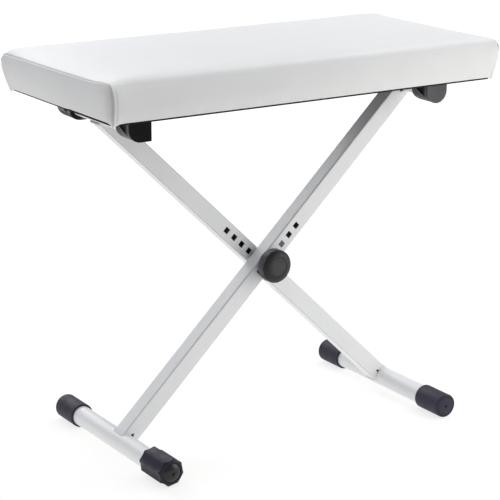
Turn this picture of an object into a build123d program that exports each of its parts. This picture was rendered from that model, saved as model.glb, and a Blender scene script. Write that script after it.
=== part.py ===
from build123d import *
import math
import os

# Folding keyboard bench: padded rectangular seat on a single X frame of square
# tube.  Millimetres, +Z up, +X along the seat, +Y towards the back.
# Origin: on the floor, under the centre of the seat.

# ---------------------------------------------------------------- driving sizes
SEAT_L = 605.0            # seat length (X)
SEAT_W = 300.0            # seat depth (Y)
SEAT_TOP = 540.0          # top of the cushion, bolt in the lowest holes
UNDERSIDE = 482.7         # underside of the closing panel
PANEL_T = 2.4             # hardboard closing panel
COVER_T = 1.5             # leatherette cover on its backing
COVER_FOLD_T = 1.2        # cover where it is folded under the board
BOARD_T = 12.0            # plywood seat board

FOOT_X = 227.4            # foot tube axis, each side of the bolt
FOOT_R = 14.0             # foot tube 28 mm
FOOT_WALL = 1.5
CAP_R = 17.0              # round foot cap
FOOT_Z = CAP_R            # foot tube axis above the floor
FOOT_LEN = 295.0          # over the end caps
CAP_LEN = 50.0

TOP_X = 235.0             # cross tube axis, each side of the bolt
TOP_Z = 464.1             # cross tube axis above the floor
TOP_R = 11.0              # cross tube 22 mm
TOP_WALL = 1.5

LEG = 25.0                # square leg tube
LEG_WALL = 1.5
LEG_CORNER = 2.2
LEG_GAP = 3.5             # between the two legs at the bolt
LEG_MID_Y = -1.5          # middle of the gap
HOLE_PITCH = 16.6         # height holes
HOLE_SIDE = 8.0
HOLE_COUNT = 5

FLUTED_R = 19.33          # levelling cap, over its ridges
FLUTED_VALLEY = 16.9
FLUTES = 8
ECCENTRIC = 2.0           # levelling cap's outside is this far above the tube axis
FLUTE_PHASE = 11.7        # first ridge above the -X direction, degrees
FLUTED_END = -152.0        # its outer end
FLUTED_LEN = 53.0

KNOB_R = 23.4
KNOB_FACE = 29.0          # knob's front face in front of the leg
PAD_W, PAD_T, PLATE_T = 21.0, 11.0, 3.0
PAD_LOW, PAD_HIGH = 22.0, 21.2   # plate below and above the bolt
BOLT_R = 3.95             # M8
RUN = 0.06                # radial clearance of a running fit

BRACKET_Y_FRONT = -97.0   # front face of the front brackets
BRACKET_Y_REAR = 65.3     # front face of the rear brackets
BRACKET_LEN = 35.3
HOOK_R, BEARING_R = 16.8, 17.0   # round end of a hook and of a closed bearing
HOOK_SIDE = 15.7          # inner edge of a hook bracket from the tube axis
PANEL_MID, PANEL_HALF = -2.5, 296.3   # the closing panel sits a little to the left

os.makedirs("parts", exist_ok=True)

# ---------------------------------------------------------------- derived sizes
THETA = math.degrees(math.atan2(FOOT_X + TOP_X, TOP_Z - FOOT_Z))   # leg from vertical
SN, CS = math.sin(math.radians(THETA)), math.cos(math.radians(THETA))
BOLT_Z = FOOT_Z + (TOP_Z - FOOT_Z) * FOOT_X / (FOOT_X + TOP_X)
A_TOP = TOP_X / SN        # bolt to cross tube axis along a leg
B_FOOT = FOOT_X / SN      # bolt to foot tube axis along a leg
Y_FRONT_LEG = LEG_MID_Y - LEG_GAP / 2 - LEG / 2
Y_REAR_LEG = LEG_MID_Y + LEG_GAP / 2 + LEG / 2
Y_FACE = Y_FRONT_LEG - LEG / 2          # front face of the front leg
print("leg angle", round(THETA, 3), "bolt z", round(BOLT_Z, 3),
      "bolt to cross tube", round(A_TOP, 2), "bolt to foot", round(B_FOOT, 2))


# ---------------------------------------------------------------- small helpers
def ycyl(r, y0, y1, x=0.0, z=0.0):
    """Cylinder along Y between two stations."""
    return Pos(x, (y0 + y1) / 2, z) * Rot(90, 0, 0) * Cylinder(r, abs(y1 - y0))


def ytube(r, wall, y0, y1, x=0.0, z=0.0):
    return ycyl(r, y0, y1, x, z) - ycyl(r - wall, y0 - 1, y1 + 1, x, z)


def zcyl(r, z0, z1, x=0.0, y=0.0):
    return Pos(x, y, (z0 + z1) / 2) * Cylinder(r, z1 - z0)


def box(x0, x1, y0, y1, z0, z1):
    return Pos((x0 + x1) / 2, (y0 + y1) / 2, (z0 + z1) / 2) * Box(x1 - x0, y1 - y0, z1 - z0)


def rounded_plate(hx, hy, r, z0, z1):
    return Pos(0, 0, z0) * extrude(RectangleRounded(2 * hx, 2 * hy, r), z1 - z0)


def revolve_y(points, x=0.0, z=0.0):
    """Turned piece about a Y axis: points are (radius, y)."""
    face = make_face(Polyline(*[(p[0], p[1]) for p in points], close=True))
    return Pos(x, 0, z) * revolve(face, Axis.Y)


def write(node, shape):
    if isinstance(shape, (list, ShapeList)):
        shape = Compound(children=list(shape))
    export_step(shape, f"parts/{node}.step")


# ---------------------------------------------------------------- seat
def side_face(half_bottom, half_max, half_top, z0, z_max, z_top, r, inset, z_low, z_high):
    """Cross-section of the cushion: bellied sides, rounded top edges."""
    hb, hm, ht = half_bottom - inset, half_max - inset, half_top - inset
    rr = max(r - inset, 1.0)
    zt = z_high - rr
    c = rr * (1 - math.sqrt(0.5))
    right = [
        Line((-hb, z_low), (hb, z_low)),
        ThreePointArc((hb, z_low), (hm, z_max), (ht, zt)),
        ThreePointArc((ht, zt), (ht - c, z_high - c), (ht - rr, z_high)),
        Line((ht - rr, z_high), (-ht + rr, z_high)),
        ThreePointArc((-ht + rr, z_high), (-ht + c, z_high - c), (-ht, zt)),
        ThreePointArc((-ht, zt), (-hm, z_max), (-hb, z_low)),
    ]
    return make_face(Wire(right))


def cushion_solid(inset, z_low, z_high):
    """Long sides, end panels and plan outline, each as a prism, intersected."""
    along = Plane.YZ * side_face(SEAT_W / 2 - 7.0, SEAT_W / 2, SEAT_W / 2 - 2.0,
                                 0, 514.0, 0, 14.0, inset, z_low, z_high)
    a = extrude(Pos(-SEAT_L, 0, 0) * along, 2 * SEAT_L, dir=(1, 0, 0))
    across = Plane.XZ * side_face(SEAT_L / 2 - 3.6, SEAT_L / 2, SEAT_L / 2 - 1.5,
                                  0, 514.0, 0, 4.0, inset, z_low, z_high)
    b = extrude(Pos(0, SEAT_W, 0) * across, 2 * SEAT_W, dir=(0, -1, 0))
    c = Pos(0, 0, z_low - 5) * extrude(
        RectangleRounded(SEAT_L - 2 * inset, SEAT_W - 2 * inset, 9.0), z_high - z_low + 10)
    return (a & b) & c


FOLD_Z = UNDERSIDE + PANEL_T                 # underside of the folded cover
BOARD_Z = FOLD_Z + COVER_FOLD_T              # underside of the board
outer = cushion_solid(0.0, FOLD_Z, SEAT_TOP)
inner = cushion_solid(COVER_T, BOARD_Z, SEAT_TOP - COVER_T)
mouth = rounded_plate(SEAT_L / 2 - 31.0, SEAT_W / 2 - 31.0, 6.0, FOLD_Z - 1, BOARD_Z + 0.5)
seat_cover = outer - inner - mouth

board = rounded_plate(SEAT_L / 2 - 13.5, SEAT_W / 2 - 14.0, 8.0, BOARD_Z, BOARD_Z + BOARD_T)
foam_skin = cushion_solid(COVER_T + 0.1, BOARD_Z + 0.05, SEAT_TOP - COVER_T - 0.1)
seat_foam = foam_skin - board
panel = Pos(PANEL_MID, 0, 0) * rounded_plate(PANEL_HALF, SEAT_W / 2 - 9.0, 9.0, UNDERSIDE, FOLD_Z)

# staples that hold the closing panel and the folded cover to the board
STAPLE_W, STAPLE_D, STAPLE_T, STAPLE_L = 10.0, 1.1, 0.6, 9.0


def staple(x, y, along_x):
    w, d = (STAPLE_W, STAPLE_D) if along_x else (STAPLE_D, STAPLE_W)
    z1 = UNDERSIDE
    crown = box(x - w / 2, x + w / 2, y - d / 2, y + d / 2, z1 - STAPLE_T, z1)
    if along_x:
        legs = [box(x + s * (w / 2) - (STAPLE_T if s > 0 else 0),
                    x + s * (w / 2) + (0 if s > 0 else STAPLE_T),
                    y - d / 2, y + d / 2, z1 - STAPLE_T, z1 + STAPLE_L) for s in (-1, 1)]
    else:
        legs = [box(x - w / 2, x + w / 2,
                    y + s * (d / 2) - (STAPLE_T if s > 0 else 0),
                    y + s * (d / 2) + (0 if s > 0 else STAPLE_T),
                    z1 - STAPLE_T, z1 + STAPLE_L) for s in (-1, 1)]
    return crown + legs[0] + legs[1]


staples = []
for sy in (-1, 1):
    for k in range(7):
        staples.append(staple(-252.0 + 84.0 * k, sy * (SEAT_W / 2 - 18.0), True))
for sx in (-1, 1):
    for k in range(3):
        staples.append(staple(sx * (SEAT_L / 2 - 17.5), -80.0 + 80.0 * k, False))

# ---------------------------------------------------------------- brackets
EAR_T = 3.2
TOP_ABOVE = UNDERSIDE - TOP_Z             # cross tube axis to the panel


def bracket_outline(r, hook):
    """Section across the tube: round below, square above; a hook is square inside too."""
    t = TOP_ABOVE
    if hook:
        edges = [
            Line((-r, t), (-r, 0)),
            ThreePointArc((-r, 0), (-r * math.sqrt(0.5), -r * math.sqrt(0.5)), (0, -r)),
            Line((0, -r), (HOOK_SIDE - 1.5, -r)),
            ThreePointArc((HOOK_SIDE - 1.5, -r), (HOOK_SIDE - 0.44, -r + 0.44), (HOOK_SIDE, -r + 1.5)),
            Line((HOOK_SIDE, -r + 1.5), (HOOK_SIDE, t)),
            Line((HOOK_SIDE, t), (-r, t)),
        ]
    else:
        edges = [
            Line((-r, t), (-r, 0)),
            ThreePointArc((-r, 0), (0, -r), (r, 0)),
            Line((r, 0), (r, t)),
            Line((r, t), (-r, t)),
        ]
    return make_face(Wire(edges))


def extrude_y(face_xz, y0, y1):
    """Face drawn in X, Z extruded between two Y stations."""
    f = Pos(0, y1, 0) * (Plane.XZ * face_xz)
    return extrude(f, y1 - y0, dir=(0, -1, 0))


def side_pocket(side, r, y0):
    """Shallow pocket in a side wall with a slanting lower ledge."""
    xw = side * r
    xin = side * (r - 1.7)
    xo = side * (r + 1.0)
    plan = make_face(Polyline((xo, y0 + 29.5), (xin, y0 + 29.5), (xin, y0 + 13.0),
                              (xw, y0 + 4.5), (xo, y0 + 4.5), close=True))
    a = Pos(0, 0, -12) * extrude(plan, 30)
    prof = Plane.YZ * make_face(Polyline((y0 + 29.5, 2.6), (y0 + 12.5, -6.8), (y0 + 4.0, -6.8),
                                         (y0 + 4.0, 14.0), (y0 + 29.5, 14.0), close=True))
    b = extrude(Pos(-30, 0, 0) * prof, 60, dir=(1, 0, 0))
    return a & b


def bracket(cx, y0, hook, front_closed, rear_closed, bore):
    """Moulded seat bracket, tube axis at (cx, TOP_Z)."""
    y1 = y0 + BRACKET_LEN
    r = HOOK_R if hook else BEARING_R
    plate_t = 2.5
    body = extrude_y(bracket_outline(r - 0.4, hook), y0 + plate_t - 0.5, y1)
    body = body + extrude_y(bracket_outline(r, hook), y0, y0 + plate_t)
    # rounded lower end away from the plate
    rc = 12.0
    corner = box(-30, 30, y1 - rc, y1 + 1, -r - 1, -r + rc)
    corner = corner - Pos(0, y1 - rc, -r + rc) * Rot(0, 90, 0) * Cylinder(rc, 80)
    body = body - corner
    ya = y0 + plate_t if front_closed else y0 - 1
    yb = y1 - 6.5 if rear_closed else y1 + 1
    body = body - ycyl(bore, ya, yb)
    if hook:
        body = body - box(0, HOOK_SIDE + 5, ya, yb, -bore, bore)
    body = body - side_pocket(-1, r - 0.4, y0)
    if not hook:
        body = body - side_pocket(1, r - 0.4, y0)
    # screw ears against the panel
    ym = y0 + 19.0
    right = HOOK_SIDE if hook else r - 0.4
    for s, edge in ((-1, r - 0.4), (1, right)):
        xc = s * (edge + 6.5)
        ear = box(min(s * (edge - 1.5), xc), max(s * (edge - 1.5), xc), ym - 6.5, ym + 6.5,
                  TOP_ABOVE - EAR_T, TOP_ABOVE)
        ear = ear + zcyl(6.5, TOP_ABOVE - EAR_T, TOP_ABOVE, xc, ym)
        ear = ear - zcyl(2.05, TOP_ABOVE - EAR_T - 1, TOP_ABOVE + 1, xc, ym)
        body = body + ear
    return Pos(cx, 0, TOP_Z) * body


SCREW_R, SCREW_HEAD_R, SCREW_HEAD_H, SCREW_L = 1.9, 3.9, 2.0, 15.0


def ear_centres(cx, y0, hook):
    r = (HOOK_R if hook else BEARING_R) - 0.4
    return [(cx - r - 6.5, y0 + 19.0), (cx + (HOOK_SIDE if hook else r) + 6.5, y0 + 19.0)]


def pan_screw(x, y):
    z = UNDERSIDE - EAR_T
    head = zcyl(SCREW_HEAD_R, z - SCREW_HEAD_H, z, x, y)
    head = fillet(head.edges().filter_by(GeomType.CIRCLE).sort_by(Axis.Z)[0], 1.2)
    shank = zcyl(SCREW_R, z, z + SCREW_L - 3.0, x, y)
    tip = Pos(x, y, z + SCREW_L - 1.5) * Cone(SCREW_R, 0.4, 3.0)
    cross = box(x - 2.2, x + 2.2, y - 0.5, y + 0.5, z - SCREW_HEAD_H - 0.1, z - 0.7)
    cross = cross + box(x - 0.5, x + 0.5, y - 2.2, y + 2.2, z - SCREW_HEAD_H - 0.1, z - 0.7)
    return (head + shank + tip) - cross


BORE_FIT = TOP_R + 0.08      # pivot pair runs on the cross tube
BORE_HOOK = TOP_R + 0.35     # hook pair drops over the cross tube
brackets = {
    "bracket_front_left": (-TOP_X, BRACKET_Y_FRONT, True, True, False, BORE_HOOK),
    "bracket_rear_left": (-TOP_X, BRACKET_Y_REAR, True, False, True, BORE_HOOK),
    "bracket_front_right": (TOP_X, BRACKET_Y_FRONT, False, True, False, BORE_FIT),
    "bracket_rear_right": (TOP_X, BRACKET_Y_REAR, False, False, True, BORE_FIT),
}
screws, screw_cores = [], None
for cx, y0, hook, fc, rc_, bore in brackets.values():
    for x, y in ear_centres(cx, y0, hook):
        screws.append(pan_screw(x, y))

for node, args in brackets.items():
    write(node, bracket(*args))

# clear the board, the panel and the folded cover for the screws and staples
for s in staples:
    panel = panel - s
    seat_cover = seat_cover - s
    board = board - s
for cx, y0, hook, fc, rc_, bore in brackets.values():
    for x, y in ear_centres(cx, y0, hook):
        panel = panel - zcyl(SCREW_R + 0.1, UNDERSIDE - 1, FOLD_Z + 1, x, y)
        pilot = zcyl(SCREW_R, BOARD_Z - 1, UNDERSIDE - EAR_T + SCREW_L - 3.0, x, y)
        pilot = pilot + Pos(x, y, UNDERSIDE - EAR_T + SCREW_L - 1.5) * Cone(SCREW_R, 0.4, 3.0)
        board = board - pilot

write("seat_cover", seat_cover)
write("seat_foam", seat_foam)
write("seat_board", board)
write("underside_panel", panel)
write("panel_staples", staples)
write("bracket_screws", screws)


# ---------------------------------------------------------------- legs
def leg(y_mid, angle, top_vent=True):
    """Square tube leg, drawn along +Z about the bolt, then leaned over."""
    lo, hi = -B_FOOT + 2.0, A_TOP - 3.0
    tube = extrude(RectangleRounded(LEG, LEG, LEG_CORNER), hi - lo)
    bore = extrude(RectangleRounded(LEG - 2 * LEG_WALL, LEG - 2 * LEG_WALL, LEG_CORNER - LEG_WALL), hi - lo + 2)
    body = Pos(0, 0, lo) * tube - Pos(0, 0, lo - 1) * bore
    body = body - ycyl(FOOT_R, -40, 40, 0, -B_FOOT)
    body = body - ycyl(TOP_R, -40, 40, 0, A_TOP)
    # small triangular vent where the front and back walls meet each cross tube
    for zc, r, s in ((-B_FOOT, FOOT_R, 1), (A_TOP, TOP_R, -1))[:2 if top_vent else 1]:
        z0 = zc + s * (r - 1.0)
        z1 = zc + s * (r + 5.2)
        tri = Plane.XZ * make_face(Polyline((-3.6, z0), (3.6, z0), (0, z1), close=True))
        body = body - extrude(Pos(0, 30, 0) * tri, 60, dir=(0, -1, 0))
    for k in range(HOLE_COUNT):
        body = body - box(-HOLE_SIDE / 2, HOLE_SIDE / 2, -20, 20,
                          k * HOLE_PITCH - HOLE_SIDE / 2, k * HOLE_PITCH + HOLE_SIDE / 2)
    return Pos(0, y_mid, BOLT_Z) * Rot(0, angle, 0) * body


write("front_leg", leg(Y_FRONT_LEG, THETA))
write("rear_leg", leg(Y_REAR_LEG, -THETA, top_vent=False))

TUBE_HALF = FOOT_LEN / 2 - 4.5
for node, x in (("front_leg_foot_tube", -FOOT_X), ("rear_leg_foot_tube", FOOT_X)):
    write(node, ytube(FOOT_R, FOOT_WALL, -TUBE_HALF, TUBE_HALF, x, FOOT_Z))
TOP_Y0 = BRACKET_Y_FRONT + 3.2
TOP_Y1 = BRACKET_Y_REAR + BRACKET_LEN - 7.2
for node, x in (("front_leg_cross_tube", TOP_X), ("rear_leg_cross_tube", -TOP_X)):
    write(node, ytube(TOP_R, TOP_WALL, TOP_Y0, TOP_Y1, x, TOP_Z))


# ---------------------------------------------------------------- foot caps
def round_cap(x, sign):
    """Push-on cap: rounded shoulders, slightly domed end with a groove and a dimple."""
    h = FOOT_LEN / 2
    b = FOOT_R + 0.05
    pts = [(b, h - CAP_LEN), (CAP_R - 0.8, h - CAP_LEN), (CAP_R - 0.2, h - CAP_LEN + 0.4),
           (CAP_R, h - CAP_LEN + 1.2), (CAP_R, h - 2.2), (CAP_R - 0.4, h - 1.1),
           (CAP_R - 1.3, h - 0.3), (CAP_R - 2.0, h), (CAP_R - 2.5, h), (CAP_R - 2.8, h - 0.7),
           (CAP_R - 3.3, h - 0.7), (CAP_R - 3.6, h - 0.1), (10.5, h + 0.5), (7.0, h + 0.9),
           (3.2, h + 1.05), (1.7, h + 1.05), (1.5, h + 0.7), (1.5, h - 1.2), (0, h - 1.2),
           (0, h - 3.5), (b, h - 3.5)]
    cap = revolve_y(pts)
    if sign < 0:
        cap = Rot(0, 0, 180) * cap
    return Pos(x, 0, FOOT_Z) * cap


write("foot_cap_rear_left", round_cap(-FOOT_X, 1))
write("foot_cap_front_right", round_cap(FOOT_X, -1))
write("foot_cap_rear_right", round_cap(FOOT_X, 1))


def levelling_cap():
    """Eccentric fluted cap: turning it raises or lowers its corner."""
    y_end = FLUTED_END
    y_in = y_end + FLUTED_LEN
    edges = []
    step = 360.0 / FLUTES
    flat = 1.5      # half-angle of each ridge's blunt top
    for k in range(FLUTES):
        a0 = 180.0 - FLUTE_PHASE - k * step
        a1 = a0 - step

        def at(r, a):
            return (r * math.cos(math.radians(a)), r * math.sin(math.radians(a)))
        edges.append(Line(at(FLUTED_R, a0 + flat), at(FLUTED_R, a0 - flat)))
        edges.append(ThreePointArc(at(FLUTED_R, a0 - flat), at(FLUTED_VALLEY, (a0 + a1) / 2),
                                   at(FLUTED_R, a1 + flat)))
    body = extrude_y(make_face(Wire(edges)), y_end, y_in)
    # turned limits: a small chamfer at the tube end, a long cone at the outer end
    turned = revolve_y([(0, y_in), (FLUTED_R - 1.0, y_in), (FLUTED_R + 0.5, y_in - 1.5),
                        (FLUTED_R + 0.5, y_end + 3.4), (15.4, y_end), (0, y_end)])
    body = Pos(0, 0, ECCENTRIC) * (body & turned)
    body = body - ycyl(FOOT_R + RUN, y_end + 8.7, y_in + 1)
    # seat for the end plug, on the outside's own axis
    body = body - ycyl(13.35, y_end - 1, y_end + 1.2, 0, ECCENTRIC)
    body = body - ycyl(6.05, y_end - 1, y_end + 6, 0, ECCENTRIC)
    return Pos(-FOOT_X, 0, FOOT_Z) * body


def levelling_plug():
    """Domed end plug with a dimple, on a short hollow stem."""
    y_end = FLUTED_END
    rest = [(13.3, y_end + 0.7), (13.3, y_end + 1.15), (6.0, y_end + 1.15), (6.0, y_end + 4.6),
            (4.2, y_end + 4.6), (4.2, y_end + 0.9), (0, y_end + 0.9), (0, y_end - 1.6), (1.5, y_end - 1.6),
            (2.3, y_end - 3.2)]
    edges = [Line(a, b) for a, b in zip(rest[:-1], rest[1:])]
    edges.append(ThreePointArc((2.3, y_end - 3.2), (9.2, y_end - 1.9), (13.3, y_end + 0.7)))
    dome = revolve(make_face(Wire(edges)), Axis.Y)
    return Pos(-FOOT_X, 0, FOOT_Z + ECCENTRIC) * dome


write("levelling_cap", levelling_cap())
write("levelling_cap_plug", levelling_plug())

# ---------------------------------------------------------------- bolt and knob
Y_REAR_FACE = Y_REAR_LEG + LEG / 2
NECK = 7.8
BOLT_TIP = Y_FACE - PAD_T - 8.4
bolt_head = revolve_y([(0, Y_REAR_FACE + 0.05), (10.0, Y_REAR_FACE + 0.05), (10.0, Y_REAR_FACE + 1.0),
                       (8.3, Y_REAR_FACE + 2.8), (5.2, Y_REAR_FACE + 4.1), (0, Y_REAR_FACE + 4.6)])
neck = Rot(0, -THETA, 0) * box(-NECK / 2, NECK / 2, Y_REAR_FACE - 4.0, Y_REAR_FACE + 0.2, -NECK / 2, NECK / 2)
shank = ycyl(BOLT_R, BOLT_TIP + 1.0, Y_REAR_FACE + 0.1)
shank = shank + revolve_y([(0, BOLT_TIP), (BOLT_R - 0.9, BOLT_TIP), (BOLT_R, BOLT_TIP + 1.0), (0, BOLT_TIP + 1.0)])
write("pivot_bolt", Pos(0, 0, BOLT_Z) * (bolt_head + neck + shank))

# washer that keeps the two legs apart
ws0, ws1 = LEG_MID_Y - LEG_GAP / 2, LEG_MID_Y + LEG_GAP / 2 - 0.3
washer = ycyl(10.5, ws0, ws1) - ycyl(4.3, ws0 - 1, ws1 + 1)
write("leg_spacer_washer", Pos(0, 0, BOLT_Z) * washer)

# pressure pad: a plate behind the knob, a round boss that stands on the front leg, and a square
# peg in the next height hole.  Drawn in X (across the leg), Y (along it), Z (forwards).
plate = Pos(0, (PAD_HIGH - PAD_LOW) / 2, PAD_T - PLATE_T) * extrude(
    RectangleRounded(PAD_W, PAD_LOW + PAD_HIGH, 1.5), PLATE_T)
plate = plate & (Cylinder(KNOB_R - 0.7, 4 * PAD_T) + Pos(0, -20, 0) * Box(40, 40, 4 * PAD_T))
plate = fillet(plate.edges().group_by(Axis.Z)[-1], 0.5)
boss = Pos(0, 0, (PAD_T - PLATE_T + 0.2) / 2) * Cylinder(10.4, PAD_T - PLATE_T + 0.2)
PEG = HOLE_SIDE - 0.3
peg = Pos(0, HOLE_PITCH, (PAD_T - PLATE_T + 0.2 - 5.6) / 2) * Box(PEG, PEG, PAD_T - PLATE_T + 0.2 + 5.6)
pad = plate + boss + peg - Cylinder(4.3, 4 * PAD_T)
pad = Rot(90, 0, 0) * pad
write("pressure_pad", Pos(0, Y_FACE, BOLT_Z) * Rot(0, THETA, 0) * pad)

# snap-in plug that closes the third height hole of the front leg
plug = Pos(0, 0, -1.0) * Box(HOLE_SIDE - 0.1, HOLE_SIDE - 0.1, 1.2)          # 0.4 to 1.6 mm deep
plug = chamfer(plug.edges().group_by(Axis.Z)[-1], 0.25)
barb = Pos(0, 0, -3.05) * Box(HOLE_SIDE + 0.5, HOLE_SIDE + 0.5, 2.98)        # 1.56 to 4.54 mm deep
barb = chamfer(barb.edges().group_by(Axis.Z)[0], 1.1)
plug = plug + barb - Pos(0, 0, -4.0) * Box(1.2, 12, 3.0)
plug = Rot(90, 0, 0) * (Pos(0, 2 * HOLE_PITCH, 0) * plug)
write("front_leg_plug", Pos(0, Y_FACE, BOLT_Z) * Rot(0, THETA, 0) * plug)

# strip inside the rear leg, held by the bolt's neck: it closes the back wall's free holes
STRIP_L, STRIP_W, STRIP_T = 146.0, 20.6, 1.2
y_in = Y_REAR_LEG + LEG / 2 - LEG_WALL - 0.05
strip = extrude(RectangleRounded(STRIP_W, STRIP_L, 2.0), STRIP_T)
strip = strip - Box(HOLE_SIDE + 0.1, HOLE_SIDE + 0.1, 4 * STRIP_T)
strip = Rot(90, 0, 0) * strip                                     # its back is at y = 0
write("rear_leg_strip", Pos(0, y_in, BOLT_Z) * Rot(0, -THETA, 0) * strip)

# knob: body with a hollow back, nut, and a plain centre disc
yk = Y_FACE - KNOB_FACE                    # front face
yb = Y_FACE - PAD_T - 0.3                  # back of the knob
dome = ((13.0, yk + 0.15), (18.2, yk + 1.35), (22.0, yk + 4.2))      # domed front round the centre disc
wall = [(22.0, yk + 4.2), (22.5, yk + 4.4), (23.0, yk + 5.0), (23.3, yk + 6.2), (KNOB_R, yk + 8.0),
        (KNOB_R - 0.2, yb - 0.8), (KNOB_R - 1.0, yb), (KNOB_R - 2.3, yb), (KNOB_R - 2.7, yk + 6.2), (10.6, yk + 6.2),
        (10.4, yb), (0, yb), (0, yk + 0.15), (13.0, yk + 0.15)]
knob = Edge.make_three_point_arc(*[(r, y, 0) for r, y in dome])
knob = revolve(make_face(Wire([knob] + [Line(p, q) for p, q in zip(wall[:-1], wall[1:])])), Axis.Y)
knob = knob - ycyl(13.05, yk - 1, yk + 1.6)
hexa = extrude(RegularPolygon(7.5, 6, major_radius=True), 6.5)
nut_blank = Pos(0, yb, 0) * Rot(90, 0, 0) * hexa                 # runs forwards from the back
knob = knob - Pos(0, yb, 0) * Rot(90, 0, 0) * extrude(RegularPolygon(7.56, 6, major_radius=True), 6.6)
knob = knob - Pos(0, yb + 1, 0) * Rot(90, 0, 0) * extrude(Circle(4.3), 9.8)
write("knob_body", Pos(0, 0, BOLT_Z) * knob)
nut = nut_blank - ycyl(BOLT_R + 0.08, yb - 20, yb + 5)
write("knob_nut", Pos(0, 0, BOLT_Z) * nut)
disc = revolve_y([(0, yk), (9.4, yk + 0.05), (9.7, yk + 0.3), (10.3, yk + 0.3), (10.6, yk + 0.1),
                  (12.5, yk + 0.2), (12.98, yk + 0.6), (12.98, yk + 1.58), (0, yk + 1.58)])
write("knob_centre_disc", Pos(0, 0, BOLT_Z) * disc)
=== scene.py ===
import math
import bpy
import numpy as np
from mathutils import Matrix, Vector


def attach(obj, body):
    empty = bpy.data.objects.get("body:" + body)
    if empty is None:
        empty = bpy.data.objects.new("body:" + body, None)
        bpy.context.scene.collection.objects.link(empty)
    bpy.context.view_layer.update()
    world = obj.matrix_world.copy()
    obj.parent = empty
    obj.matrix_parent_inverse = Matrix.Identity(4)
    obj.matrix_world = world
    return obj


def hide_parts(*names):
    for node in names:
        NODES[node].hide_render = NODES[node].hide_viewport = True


# Folding keyboard bench: finishes, the upholstered cushion, weld beads, studio.
# Metres, +X along the seat, +Y to the back, +Z up, origin on the floor.

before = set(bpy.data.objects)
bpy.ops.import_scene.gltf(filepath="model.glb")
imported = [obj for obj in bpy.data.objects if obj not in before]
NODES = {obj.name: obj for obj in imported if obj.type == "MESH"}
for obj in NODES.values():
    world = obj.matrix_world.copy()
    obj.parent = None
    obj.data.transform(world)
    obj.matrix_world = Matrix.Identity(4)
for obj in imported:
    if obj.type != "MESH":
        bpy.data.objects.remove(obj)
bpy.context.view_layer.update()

# ------------------------------------------------------------------ numbers shared with the frame
FOOT_X, FOOT_Z, FOOT_R = 227.4, 17.0, 14.0
TOP_X, TOP_Z, TOP_R = 235.0, 464.1, 11.0
THETA = math.atan2(FOOT_X + TOP_X, TOP_Z - FOOT_Z)
BOLT_Z = FOOT_Z + (TOP_Z - FOOT_Z) * FOOT_X / (FOOT_X + TOP_X)
LEG = 25.0
Y_FRONT_LEG, Y_REAR_LEG = -15.75, 12.75
SN, CS = math.sin(THETA), math.cos(THETA)


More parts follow.
